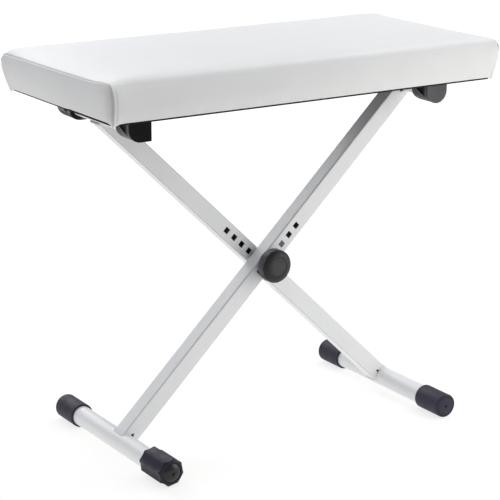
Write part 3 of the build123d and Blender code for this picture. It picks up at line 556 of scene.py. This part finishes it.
def build(a, b, c, plump=1.0):
    """Surface points of the cushion on the lattice. Returns points, faces and each point's (i, j, k)."""
    na, nb, nc = len(a), len(b), len(c)
    mid_side = resample(spline(MID_SIDE), c)
    half = spline(MID_TOP)
    full = np.vstack([np.c_[-half[:, 0], half[:, 1]], np.c_[half[::-1, 0], half[::-1, 1]][1:]])
    mid_top = resample(full, b)
    end_side, end_top, xs, xt = {}, {}, {}, {}
    for s in (-1, 1):
        end_side[s] = {g: resample(spline(END_SIDE[s, g]), c) for g in (-1, 1)}
        f, h = spline(END_TOP[s, -1]), spline(END_TOP[s, 1])
        end_top[s] = resample(np.vstack([np.c_[-f[:, 0], f[:, 1]], np.c_[h[::-1, 0], h[::-1, 1]][1:]]), b)
        for g in (-1, 1):
            xs[s, g] = s * np.interp(end_side[s][g][:, 1], SEAM_Z, SEAM_X[s, g])
        u = 0.5 - 0.5 * np.cos(np.pi * b)
        xt[s] = s * ((1 - u) * np.interp(end_top[s][:, 1], SEAM_Z, SEAM_X[s, -1])
                     + u * np.interp(end_top[s][:, 1], SEAM_Z, SEAM_X[s, 1]))
        # a little more length in the middle of the end than at its corners
        xt[s] = xt[s] + s * 0.6 * np.cos(np.pi * (b - 0.5)) ** 2

    d_lo, d_hi = a * 605.0, (1 - a) * 605.0
    w = {}
    for s, d in ((-1, d_lo), (1, d_hi)):
        w[s] = {g: np.clip(1 - d / SHOULDER[s], 0, 1) ** SHOULDER_P[s, g] for g in (-1, 1)}
    to_rear = np.clip((b - 0.72) / 0.24, 0, 1)
    to_rear = to_rear * to_rear * (3 - 2 * to_rear)
    ws = {s: np.clip(1 - d / 34.0, 0, 1) ** 2.2 for s, d in ((-1, d_lo), (1, d_hi))}

    pts, idx, ijk = [], {}, []

    def put(i, j, k, p):
        if (i, j, k) not in idx:
            idx[(i, j, k)] = len(pts)
            pts.append(p)
            ijk.append((i, j, k))

    # top
    for i in range(na):
        wt = {e: (w[e][-1][i] * (1 - to_rear) + w[e][1][i] * to_rear)[:, None] for e in (-1, 1)}
        yz = mid_top + wt[-1] * (end_top[-1] - mid_top) + wt[1] * (end_top[1] - mid_top)
        # the whole edge is a little lower towards the corners
        x = xt[-1] + (xt[1] - xt[-1]) * a[i]
        for j in range(nb):
            put(i, j, nc - 1, (x[j], yz[j, 0], yz[j, 1]))
    # long sides; the widths follow the top's own end weight where they meet it
    for i in range(na):
        for k in range(nc):
            f = c[k] ** 3
            for j, sg in ((0, -1), (nb - 1, 1)):
                wl = ws[-1][i] * (1 - f) + w[-1][sg][i] * f
                wr = ws[1][i] * (1 - f) + w[1][sg][i] * f
                yz = mid_side[k] + wl * (end_side[-1][sg][k] - mid_side[k]) + wr * (end_side[1][sg][k] - mid_side[k])
                x = xs[-1, sg][k] + (xs[1, sg][k] - xs[-1, sg][k]) * a[i]
                put(i, j, k, (x, sg * yz[0], yz[1]))
    # bottom hem: turns under, then lies flat
    for i in range(na):
        for j in range(nb):
            if (i, j, 0) in idx or i in (0, na - 1):
                continue
            y0 = mid_side[0][0]
            lo = (1 - b[j]) * xs[-1, -1][0] + b[j] * xs[-1, 1][0]
            hi = (1 - b[j]) * xs[1, -1][0] + b[j] * xs[1, 1][0]
            x = lo + (hi - lo) * a[i]
            y = -y0 + 2 * y0 * b[j]
            d = min(y0 - abs(y), min(x - lo, hi - x))
            z = np.interp(d, [0.0, 0.69, 1.36, 1.75, 3.4], [EDGE_Z, 485.9, FOLD_Z - 0.45, FOLD_Z, FOLD_Z])
            put(i, j, 0, (x, y, z))
    # end panels: Coons patch inside their border, then bellied outwards
    for s, i in ((-1, 0), (1, na - 1)):
        for j in range(nb):
            if (i, j, 0) not in idx:
                t = b[j]
                y0 = end_side[s][-1][0][0]
                put(i, j, 0, ((1 - t) * xs[s, -1][0] + t * xs[s, 1][0], -y0 + 2 * y0 * t, EDGE_Z))
        P = lambda jj, kk: np.array(pts[idx[(i, jj, kk)]])
        for j in range(1, nb - 1):
            for k in range(1, nc - 1):
                u, v = b[j], c[k]
                q = ((1 - u) * P(0, k) + u * P(nb - 1, k) + (1 - v) * P(j, 0) + v * P(j, nc - 1)
                     - (1 - u) * (1 - v) * P(0, 0) - u * (1 - v) * P(nb - 1, 0)
                     - (1 - u) * v * P(0, nc - 1) - u * v * P(nb - 1, nc - 1))
                e = min(u, 1 - u) * 300.0
                side = 1 - np.clip(1 - e / 26.0, 0, 1) ** 2.4
                up = np.sin(np.pi * np.clip(v, 0, 1) ** 1.12) ** 0.62
                q[0] += s * BULGE[s] * plump * side * up
                put(i, j, k, tuple(q))

    faces = []

    def quad(*q):
        faces.append([idx[t] for t in q])
    for i in range(na - 1):
        for j in range(nb - 1):
            quad((i, j, nc - 1), (i + 1, j, nc - 1), (i + 1, j + 1, nc - 1), (i, j + 1, nc - 1))
            quad((i, j, 0), (i, j + 1, 0), (i + 1, j + 1, 0), (i + 1, j, 0))
        for k in range(nc - 1):
            quad((i, 0, k), (i + 1, 0, k), (i + 1, 0, k + 1), (i, 0, k + 1))
            quad((i, nb - 1, k), (i, nb - 1, k + 1), (i + 1, nb - 1, k + 1), (i + 1, nb - 1, k))
    for j in range(nb - 1):
        for k in range(nc - 1):
            quad((0, j, k), (0, j, k + 1), (0, j + 1, k + 1), (0, j + 1, k))
            quad((na - 1, j, k), (na - 1, j + 1, k), (na - 1, j + 1, k + 1), (na - 1, j, k + 1))
    return np.array(pts), faces, np.array(ijk)


def vnoise(u, v, seed):
    """Smooth value noise in two directions, about -1 to 1, the same on every run."""
    g = np.random.RandomState(seed).rand(64, 64) * 2 - 1
    u, v = np.asarray(u, float), np.asarray(v, float)
    i, j = np.floor(u).astype(int), np.floor(v).astype(int)
    fu, fv = u - i, v - j
    fu, fv = fu * fu * (3 - 2 * fu), fv * fv * (3 - 2 * fv)
    a, b = g[i % 64, j % 64], g[(i + 1) % 64, j % 64]
    c, d = g[i % 64, (j + 1) % 64], g[(i + 1) % 64, (j + 1) % 64]
    return (a * (1 - fu) + b * fu) * (1 - fv) + (c * (1 - fu) + d * fu) * fv


def normals_of(P, F):
    """Area-weighted vertex normals."""
    F = np.asarray(F)
    n = np.cross(P[F[:, 2]] - P[F[:, 0]], P[F[:, 3]] - P[F[:, 1]])
    out = np.zeros_like(P)
    for k in range(4):
        np.add.at(out, F[:, k], n)
    return out / np.maximum(np.linalg.norm(out, axis=1), 1e-12)[:, None]


def neighbours(F, n):
    F = np.asarray(F)
    e = np.vstack([F[:, [k, (k + 1) % 4]] for k in range(4)])
    e = np.vstack([e, e[:, ::-1]])
    return np.unique(e, axis=0)


def smooth_near(P, E, weight, rounds, amount=0.5):
    cnt = np.zeros(len(P))
    np.add.at(cnt, E[:, 0], 1)
    for _ in range(rounds):
        s = np.zeros_like(P)
        np.add.at(s, E[:, 0], P[E[:, 1]])
        P = P + amount * weight[:, None] * (s / cnt[:, None] - P)
    return P


def inflate(P, F, pin):
    """Cloth with pressure inside; returns where each point ends up, in millimetres."""
    ob = new_object("cushion_sim", P / 1000.0, F, MATS["leatherette"])
    vg = ob.vertex_groups.new(name="pin")
    for w in np.unique(np.round(pin, 2)):
        if w > 0:
            vg.add([int(i) for i in np.where(np.round(pin, 2) == w)[0]], float(w), "REPLACE")
    mod = ob.modifiers.new("cloth", "CLOTH")
    s = mod.settings
    s.quality = 6
    s.mass = 0.4
    s.tension_stiffness = s.compression_stiffness = 28.0
    s.shear_stiffness = 12.0
    s.bending_stiffness = 1.2
    s.use_pressure = True
    s.uniform_pressure_force = 4.0
    s.vertex_group_mass = "pin"
    s.pin_stiffness = 2.0
    s.effector_weights.gravity = 0.0
    mod.point_cache.frame_start, mod.point_cache.frame_end = 1, 20
    scene = bpy.context.scene
    for f in range(1, 21):
        scene.frame_set(f)
    dg = bpy.context.evaluated_depsgraph_get()
    me = ob.evaluated_get(dg).to_mesh()
    co = np.zeros(len(me.vertices) * 3)
    me.vertices.foreach_get("co", co)
    ob.evaluated_get(dg).to_mesh_clear()
    data = ob.data
    bpy.data.objects.remove(ob)
    bpy.data.meshes.remove(data)
    scene.frame_set(1)
    return co.reshape(-1, 3) * 1000.0


def spread(ca, cb, values, fa, fb):
    """Values on a coarse grid read at the finer grid's fractions."""
    out = np.zeros((len(fa), len(cb), 3))
    for q in range(3):
        for j in range(len(cb)):
            out[:, j, q] = np.interp(fa, ca, values[:, j, q])
    res = np.zeros((len(fa), len(fb), 3))
    for q in range(3):
        for i in range(len(fa)):
            res[i, :, q] = np.interp(fb, cb, out[i, :, q])
    return res


def swell(fine):
    """Runs the inflation on an even lattice and carries the swelling over to the fine one."""
    a, b, c = lattice(False)
    P, F, ijk = build(a, b, c)
    na, nb, nc = len(a), len(b), len(c)
    N = normals_of(P, F)
    # distance from the seams and the hem, as fractions of a panel
    i, j, k = ijk.T
    x_in = np.minimum(a[i], 1 - a[i]) * 605.0
    end_cap = (i == 0) | (i == na - 1)
    hem = (k == 0)
    up = c[k] * 43.5
    y_in = np.minimum(b[j], 1 - b[j]) * 300.0
    free = np.where(end_cap, np.minimum(np.minimum(y_in, (1 - c[k]) * 43.5), up),
                    np.minimum(x_in, np.where(k == nc - 1, 1e3, up)))
    free = np.where(hem, 0.0, free)
    slack = np.clip(free / 26.0, 0, 1)
    slack = slack * slack * (3 - 2 * slack)
    start = P - N * (3.0 * slack + 0.25 * slack * vnoise(P[:, 0] / 41.0, P[:, 1] / 37.0, 5))[:, None]
    pin = np.where(hem, 1.0, np.clip(0.55 * (1 - free / 9.0), 0, 0.55))
    moved = inflate(start, F, pin)
    D = moved - start
    size = np.linalg.norm(D, axis=1)
    cap = 7.0
    D *= (cap * np.tanh(size / cap) / np.maximum(size, 1e-9))[:, None]
    top = (k == nc - 1) & (x_in > 100) & (y_in > 60)
    rise = np.median(D[top, 2])
    print("cushion: the top's middle rose %.2f mm, most %.2f mm" % (rise, size.max()))
    D *= np.clip(4.2 / max(rise, 0.5), 0.3, 2.5)
    total = (start + D) - P                 # what the fine shape gets
    # the drawn shape is the sewn one; the swelling adds its own slow and middling unevenness to it
    E, loose = neighbours(F, len(P)), np.where(hem, 0.0, 1.0)
    soft = smooth_near(total, E, loose, 6, 0.5)
    slow = smooth_near(soft, E, loose, 40, 0.5)
    total = 0.22 * slow + 0.55 * (soft - slow)
    total[hem] = 0
    fa, fb, fc, fijk = fine
    out = np.zeros((len(fijk), 3))
    grid = {(int(p), int(q), int(r)): t for (p, q, r), t in zip(ijk, total)}
    top_v = np.array([[grid[(p, q, nc - 1)] for q in range(nb)] for p in range(na)])
    sides = {q: np.array([[grid[(p, q, r)] for r in range(nc)] for p in range(na)]) for q in (0, nb - 1)}
    ends = {p: np.array([[grid[(p, q, r)] for r in range(nc)] for q in range(nb)]) for p in (0, na - 1)}
    T = spread(a, b, top_v, fa, fb)
    S = {0: spread(a, c, sides[0], fa, fc), 1: spread(a, c, sides[nb - 1], fa, fc)}
    X = {0: spread(b, c, ends[0], fb, fc), 1: spread(b, c, ends[na - 1], fb, fc)}
    NA, NB, NC = len(fa), len(fb), len(fc)
    for n, (p, q, r) in enumerate(fijk):
        if r == NC - 1:
            out[n] = T[p, q]
        elif r == 0:
            out[n] = 0
        elif q == 0:
            out[n] = S[0][p, r]
        elif q == NB - 1:
            out[n] = S[1][p, r]
        elif p == 0:
            out[n] = X[0][q, r]
        elif p == NA - 1:
            out[n] = X[1][q, r]
    return out


def seam_field(P, ijk, na, nb, nc):
    """Distance to the nearest end seam, and how far along that seam, in millimetres."""
    dist = np.full(len(P), 60.0)
    run = np.zeros(len(P))
    where = {tuple(t): n for n, t in enumerate(ijk)}
    lines = {}
    for i in (0, na - 1):
        path = [where[(i, 0, k)] for k in range(nc)] + [where[(i, j, nc - 1)] for j in range(1, nb)]
        path += [where[(i, nb - 1, k)] for k in range(nc - 2, -1, -1)]
        L = P[path]
        lines[i] = path
        s = np.r_[0, np.cumsum(np.linalg.norm(np.diff(L, axis=0), axis=1))]
        near = np.where(np.abs(P[:, 0] - L[:, 0].mean()) < 70)[0]
        Q = P[near]
        best, at = np.full(len(near), 1e9), np.zeros(len(near))
        for m in range(len(L) - 1):
            A, B = L[m], L[m + 1]
            AB = B - A
            t = np.clip(((Q - A) @ AB) / (AB @ AB), 0, 1)
            d = np.linalg.norm(Q - (A + t[:, None] * AB), axis=1)
            hit = d < best
            best[hit] = d[hit]
            at[hit] = (s[m] + t * (s[m + 1] - s[m]))[hit]
        ok = best < dist[near]
        dist[near[ok]] = best[ok]
        run[near[ok]] = at[ok]
    return dist, run, lines


def make_cushion():
    a, b, c = lattice(True)
    P, F, ijk = build(a, b, c)
    na, nb, nc = len(a), len(b), len(c)
    P = P + swell((a, b, c, ijk))
    i, j, k = ijk.T
    E = neighbours(F, len(P))
    dist, run, lines = seam_field(P, ijk, na, nb, nc)
    end_cap = ((i == 0) | (i == na - 1)) & (dist > 0.05)
    hem = (k == 0) & (dist > 0.05)
    # round the sewn edge a little
    P = smooth_near(P, E, np.clip(1 - dist / 3.2, 0, 1) * np.where(hem, 0.3, 1.0), 3, 0.5)
    # the folded hem keeps a soft edge too
    edge = np.where(k == 0, 1.0, 0.0) * np.where(P[:, 2] > FOLD_Z + 0.3, 1.0, 0.0)
    P = smooth_near(P, E, np.clip(edge, 0, 1), 1, 0.3)
    N = normals_of(P, F)

    seam = np.clip(1 - dist / 60.0, 0, 1)
    above = np.clip((P[:, 2] - (EDGE_Z + 1.0)) / 6.0, 0, 1)
    # slow unevenness of the long faces and of the end panels
    side = ((j == 0) | (j == nb - 1)) & (k > 0) & (k < nc - 1)
    wave = vnoise(P[:, 0] / 58.0 + 7, P[:, 2] / 40.0, 11) * 0.55 + vnoise(P[:, 0] / 23.0, P[:, 2] / 30.0, 12) * 0.22
    P = P + N * (np.where(side, wave, 0.0) * np.sin(np.pi * np.clip(c[k], 0, 1)))[:, None]
    wave = vnoise(P[:, 1] / 46.0 + 3, P[:, 2] / 34.0, 13) * 0.5 + vnoise(P[:, 1] / 19.0, P[:, 2] / 25.0, 14) * 0.18
    P = P + N * (np.where(end_cap & (k > 0), wave, 0.0) * np.sin(np.pi * np.clip(c[k], 0, 1)))[:, None]
    top = (k == nc - 1) & (dist > 1)
    wave = vnoise(P[:, 0] / 90.0, P[:, 1] / 80.0, 15) * 0.35 + vnoise(P[:, 0] / 37.0, P[:, 1] / 41.0, 16) * 0.08
    P = P + N * (np.where(top, wave, 0.0) * np.clip(dist / 40.0, 0, 1))[:, None]

    # upright corner seams: the panels dip towards the seam and are drawn into short folds across it
    upright = np.clip(1 - np.abs(np.abs(P[:, 1]) - 149.0) / 30.0, 0, 1) * np.clip(1 - dist / 34.0, 0, 1)
    corner = np.clip((535.0 - P[:, 2]) / 10.0, 0, 1) * above
    dip = np.exp(-(dist / 7.5) ** 2) * corner * np.where(np.abs(P[:, 1]) > 118, 1.0, 0.0)
    P = P - N * (0.9 * dip)[:, None]
    folds = vnoise(run / 6.5, dist / 26.0 + 3, 21) * 0.34 + vnoise(run / 3.4, dist / 15.0, 22) * 0.14
    P = P + N * (folds * 0.8 * np.exp(-dist / 11.0) * np.clip(dist / 2.5, 0, 1) * corner
                 * np.where(np.abs(P[:, 1]) > 118, 1.0, 0.0))[:, None]
    # fainter gathers along the top end seams, stronger towards the corners
    gather = vnoise(run / 8.5, dist / 30.0 + 9, 23) * np.exp(-dist / 9.0) * np.clip(dist / 2.5, 0, 1)
    P = P + N * (gather * (0.08 + 0.26 * np.clip((np.abs(P[:, 1]) - 95.0) / 40.0, 0, 1)) * np.clip((P[:, 2] - 528.0) / 4.0, 0, 1))[:, None]

    # corner tips stand up where the top seam turns down
    for sx in (-1, 1):
        for sy in (-1, 1):
            tip = np.array([lines[0 if sx < 0 else na - 1][0]])
            seam_pts = P[lines[0 if sx < 0 else na - 1]]
            pick = seam_pts[np.argmin(np.abs(seam_pts[:, 1] - sy * 143.2) + np.abs(seam_pts[:, 2] - 533.5))]
            r = np.linalg.norm(P - pick, axis=1)
            lift = 0.15 if (sx, sy) == (-1, 1) else 1.0
            P = P + lift * np.array([sx * 0.55, sy * 0.55, 1.1]) * np.exp(-(r / 5.0) ** 2)[:, None]

    # the seam itself: a narrow groove, with a small rolled lip beside it on the top and side panels only
    N = normals_of(P, F)
    vary = 1 + 0.18 * vnoise(run / 5.0, 0 * run, 31)
    groove = -1.25 * np.exp(-(dist / 0.95) ** 2)
    lip = np.where(end_cap, 0.0, 0.12) * np.exp(-((dist - 2.1) / 1.0) ** 2)
    P = P + N * ((groove + lip) * vary * np.clip((P[:, 2] - 487.5) / 2.0, 0.15, 1))[:, None]

    # hem: pulled in a little at each staple, gathered in small pleats and let down at the corners
    low = np.clip(1 - (P[:, 2] - EDGE_Z) / 12.0, 0, 1) * np.where(k > 0, 1.0, 0.0) + np.where((k == 0) & (P[:, 2] > FOLD_Z + 0.5), 1.0, 0.0)
    scallop = np.cos(2 * np.pi * P[:, 0] / 84.0) ** 8
    longside = np.where(np.abs(P[:, 1]) > 138, 1.0, 0.0)
    P[:, 1] -= np.sign(P[:, 1]) * 0.45 * scallop * low * longside * np.clip(1 - dist / 60 + 1, 0, 1)
    r = np.hypot(np.abs(P[:, 0]) - 298.0, np.abs(P[:, 1]) - 142.5)
    cw = np.exp(-(r / 13.0) ** 2) * np.clip(1 - (P[:, 2] - 486.0) / 16.0, 0, 1)
    out = np.sqrt(np.maximum(0, np.abs(P[:, 0]) - 286.5) ** 2 + np.maximum(0, np.abs(P[:, 1]) - 130.5) ** 2)
    r2 = np.hypot(np.abs(P[:, 0] + 1.0) - 298.0, np.abs(P[:, 1]) - 143.5)
    drop = np.clip((out - 10.5) / 4.5, 0, 1) * np.exp(-(r2 / 10.5) ** 2) * np.clip(1 - (P[:, 2] - 486.0) / 22.0, 0, 1)
    deep = np.where(P[:, 0] > 0, 4.4, np.where(P[:, 1] > 0, 5.4, 5.0))
    P[:, 2] -= deep * drop
    # the end's lower edge hangs a little over the closing panel's edge
    hang = np.clip((-298.5 - P[:, 0]) / 0.6, 0, 1) * np.exp(-np.maximum(P[:, 2] - 487.0, 0) / 3.0)
    P[:, 2] -= 2.2 * hang * (1 - np.clip(drop * 1.5, 0, 1))
    ang = np.arctan2(np.abs(P[:, 1]) - 131.0, np.abs(P[:, 0]) - 287.0)
    pleat = np.cos(ang * 11.0 + 0.8 * np.sign(P[:, 0]) + 0.5 * np.sign(P[:, 1])) * cw * np.clip((out - 6) / 6.0, 0, 1)
    N = normals_of(P, F)
    P = P + N * (0.55 * pleat)[:, None]
    # nothing of the hem reaches the closing panel
    inside = np.hypot(np.maximum(0, np.abs(P[:, 0] + 2.5) - 287.3), np.maximum(0, np.abs(P[:, 1]) - 132.0)) < 9.3
    P[:, 2] = np.where(inside, np.maximum(P[:, 2], FOLD_Z), P[:, 2])

    ob = new_object("seat_cushion", P / 1000.0, F, MATS["leatherette"])
    # corner_seam_shade marks where the leatherette paints shade along the upright corner seams
    for name, values in (("seam_mm", np.minimum(dist, 60.0)), ("seam_run", run), ("end_face", end_cap.astype(float)), ("corner_seam_shade", corner * np.clip((np.abs(P[:, 1]) - 112.0) / 24.0, 0, 1) * np.where((P[:, 0] < 0) & (P[:, 1] < 0), 1.0, 0.45))):
        at = ob.data.attributes.new(name, "FLOAT", "POINT")
        at.data.foreach_set("value", values.astype(np.float32))
    sub = ob.modifiers.new("soft", "SUBSURF")
    sub.levels = sub.render_levels = 1
    return ob


cushion = make_cushion()
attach(cushion, "seat")
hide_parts("seat_cover", "seat_foam")


# ------------------------------------------------------------------ weld beads at the tube joints
def sweep(points, radii, sides=10):
    """A closed tube of changing radius along the points, capped at both ends."""
    pts = np.asarray(points, float)
    tang = np.gradient(pts, axis=0)
    tang /= np.linalg.norm(tang, axis=1)[:, None]
    ref = np.cross(tang[0], [0.31, 0.62, 0.72])
    V, F = [], []
    for p, t, r in zip(pts, tang, radii):
        ref = ref - t * (ref @ t)
        ref /= np.linalg.norm(ref)
        bi = np.cross(t, ref)
        for s in range(sides):
            an = 2 * math.pi * s / sides
            V.append(p + r * (math.cos(an) * ref + math.sin(an) * bi))
    n = len(pts)
    for q in range(n - 1):
        for s in range(sides):
            s2 = (s + 1) % sides
            F.append((q * sides + s, q * sides + s2, (q + 1) * sides + s2, (q + 1) * sides + s))
    F.append(tuple(reversed(range(sides))))
    F.append(tuple((n - 1) * sides + s for s in range(sides)))
    return V, F


def weld(name, body, centre, radius, along, across, y_mid, seed):
    """Fillet weld round a square leg where it stands on a round tube, open at the vents front and back."""
    half, rc = LEG / 2, 2.2
    ring = []
    # walk round the square from the front vent to the rear vent, on one side
    def square(t_side):
        path = []
        for u in np.arange(4.1, half - rc, 0.8):
            path.append((u, -half, 0, -1))
        for an in np.linspace(0, math.pi / 2, 6):
            path.append((half - rc + rc * math.sin(an), -half + rc - rc * math.cos(an), math.sin(an), -math.cos(an)))
        for v in np.arange(-half + rc + 0.8, half - rc, 0.8):
            path.append((half, v, 1, 0))
        for an in np.linspace(0, math.pi / 2, 6):
            path.append((half - rc + rc * math.cos(an), half - rc + rc * math.sin(an), math.cos(an), math.sin(an)))
        for u in np.arange(half - rc - 0.8, 4.1, -0.8):
            path.append((u, half, 0, 1))
        return [(t_side * u, v, t_side * nu, nv) for u, v, nu, nv in path]
    V, F = [], []
    rng = np.random.RandomState(seed)
    for t_side in (-1, 1):
        pts = []
        for u, v, nu, nv in square(t_side):
            uu = max(-radius + 0.15, min(radius - 0.15, u))
            L = math.sqrt(max(radius * radius - uu * uu, 0.0))
            n_sq = across * nu + np.array([0, 1.0, 0]) * nv
            n_cy = (along * L + across * uu) / radius
            if half > radius and abs(u) > radius - 0.5:      # the leg is wider than the tube: bead on the wall's end
                k = min(1.0, (abs(u) - radius + 0.5) / 1.0)
                L, u = L + k * (3.0 - L), u - math.copysign(0.75 * k, u)
            p = centre + along * L + across * u + np.array([0, y_mid + v, 0])
            grow = n_sq * 0.35 + n_cy * 0.35
            pts.append(p + grow)
        pts = np.array(pts)
        s = np.r_[0, np.cumsum(np.linalg.norm(np.diff(pts, axis=0), axis=1))]
        m = int(s[-1] / 0.55)
        sn = np.linspace(0, s[-1], m)
        line = np.stack([np.interp(sn, s, pts[:, q]) for q in range(3)], -1)
        for _ in range(2):
            line[1:-1] = 0.25 * line[:-2] + 0.5 * line[1:-1] + 0.25 * line[2:]
        ripple = 1.25 + 0.10 * np.sin(2 * np.pi * sn / 1.9 + rng.rand() * 6) + 0.10 * np.interp(sn, np.linspace(0, s[-1], 14), rng.randn(14))
        taper = np.clip(np.minimum(sn, s[-1] - sn) / 1.4, 0.12, 1) ** 0.5
        v2, f2 = sweep(line, ripple * taper)
        off = len(V)
        V += [p / 1000.0 for p in v2]
        F += [tuple(i + off for i in f) for f in f2]
    ob = new_object(name, V, F, MATS["white"])
    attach(ob, body)
    return ob


UP_FRONT = np.array([SN, 0.0, CS])       # front leg runs up to the right
UP_REAR = np.array([-SN, 0.0, CS])
AC_FRONT = np.array([CS, 0.0, -SN])
AC_REAR = np.array([CS, 0.0, SN])
weld("weld_front_leg_foot", "front_leg_frame", np.array([-FOOT_X, 0, FOOT_Z]), FOOT_R, UP_FRONT, AC_FRONT, Y_FRONT_LEG, 1)
weld("weld_front_leg_top", "front_leg_frame", np.array([TOP_X, 0, TOP_Z]), TOP_R, -UP_FRONT, AC_FRONT, Y_FRONT_LEG, 2)
weld("weld_rear_leg_foot", "rear_leg_frame", np.array([FOOT_X, 0, FOOT_Z]), FOOT_R, UP_REAR, AC_REAR, Y_REAR_LEG, 3)
weld("weld_rear_leg_top", "rear_leg_frame", np.array([-TOP_X, 0, TOP_Z]), TOP_R, -UP_REAR, AC_REAR, Y_REAR_LEG, 4)


# ------------------------------------------------------------------ studio
def stage_floor():
    m = Mat("studio_floor")
    m.put("Base Color", m.mix(m.remap(m.noise(1.3, 2.0), 0.3, 0.7, 0.0, 1.0), (0.275, 0.275, 0.275), (0.285, 0.285, 0.285)))
    m.put("Roughness", 0.9)
    m.put("Specular IOR Level", 0.1)
    m.put("Emission Color", (1.0, 0.995, 0.985, 1.0))
    # an evenly lit sweep under and behind the bench; the part in front of it, towards the viewer, falls off
    x, y, z = m.xyz()
    ahead = m.math("SUBTRACT", m.math("MULTIPLY_ADD", x, -0.5406, m.math("MULTIPLY", y, -0.8413)), 0.2939)
    aside = m.math("SUBTRACT", m.math("MULTIPLY_ADD", x, 0.8413, m.math("MULTIPLY", y, -0.5406)), -0.0097)
    front = m.remap(ahead, 0.04, 0.35, 0.0, 1.0)
    near = m.math("MULTIPLY", m.math("SUBTRACT", 1.0, front), m.remap(ahead, -5.0, -1.2, FLOOR_FAR, FLOOR_GLOW))
    glow = m.math("MULTIPLY_ADD", m.math("MULTIPLY", front, m.remap(aside, -0.7, 0.9, 0.0, 1.0)), FLOOR_AHEAD, near)
    m.put("Emission Strength", glow)
    n = 24
    R = 14.0
    V = [(R * (2 * i / n - 1), R * (2 * j / n - 1), -0.0004) for i in range(n + 1) for j in range(n + 1)]
    F = [(i * (n + 1) + j, (i + 1) * (n + 1) + j, (i + 1) * (n + 1) + j + 1, i * (n + 1) + j + 1) for i in range(n) for j in range(n)]
    ob = new_object("studio_floor", V, F, m.m, smooth=False)
    return ob


FLOOR_GLOW, FLOOR_FAR, FLOOR_AHEAD = 0.775, 0.96, 0.45
stage_floor()

world = bpy.data.worlds.new("studio")
bpy.context.scene.world = world
world.use_nodes = True
bg = world.node_tree.nodes["Background"]
bg.inputs["Color"].default_value = (0.985, 1.0, 1.03, 1.0)
bg.inputs["Strength"].default_value = 0.429


def softbox(name, where, target, size, power, colour=(1, 1, 1)):
    d = bpy.data.lights.new(name, "AREA")
    d.shape = "RECTANGLE"
    d.size, d.size_y = size
    d.energy = power
    d.color = colour
    ob = bpy.data.objects.new(name, d)
    bpy.context.scene.collection.objects.link(ob)
    ob.location = where
    ob.rotation_euler = (Vector(target) - Vector(where)).to_track_quat("-Z", "Y").to_euler()
    return ob


COOL, WARM = (0.985, 1.0, 1.03), (1.015, 1.0, 0.975)
softbox("softbox_top", (0.2, 0.5, 3.2), (0, 0, 0.4), (3.2, 3.2), 18.9, COOL)
softbox("softbox_top_right", (1.8, 0.4, 2.6), (0, 0, 0.4), (2.0, 2.0), 30.6, COOL)
softbox("softbox_right_front", (1.0, -0.9, 0.55), (0.1, -0.15, 0.35), (1.0, 1.0), 7.3, WARM)
softbox("softbox_left", (-1.6, -0.2, 0.4), (0, 0, 0.3), (1.0, 1.0), 2.8, COOL)
softbox("softbox_back", (0.0, 3.2, 1.6), (0, 0, 0.3), (2.4, 1.6), 25.9, COOL)
softbox("softbox_back_high", (0.0, 2.4, 2.2), (0, 0, 0.3), (2.4, 1.6), 17.9, COOL)

# ------------------------------------------------------------------ camera at the photograph's angle
yaw, pitch, roll = 0.5711886, 0.2788161, 0.0014035
cam = bpy.data.cameras.new("camera")
cam.sensor_width = 36.0
cam.lens = 1810.724 / 500.0 * 36.0
cam.clip_end = 100.0
cam_ob = bpy.data.objects.new("camera", cam)
bpy.context.scene.collection.objects.link(cam_ob)
look = Vector((math.sin(yaw) * math.cos(pitch), math.cos(yaw) * math.cos(pitch), -math.sin(pitch)))
right = look.cross(Vector((0, 0, 1))).normalized()
up = right.cross(look)
r2 = math.cos(roll) * right + math.sin(roll) * up
u2 = -math.sin(roll) * right + math.cos(roll) * up
rot = Matrix((r2, u2, -look)).transposed()
cam_ob.matrix_world = Matrix.Translation((-1.317848, -2.034906, 0.942043)) @ rot.to_4x4()
bpy.context.scene.camera = cam_ob

bpy.context.scene.view_settings.view_transform = "Standard"
bpy.context.scene.view_settings.look = "None"
bpy.context.scene.view_settings.exposure = 0.0
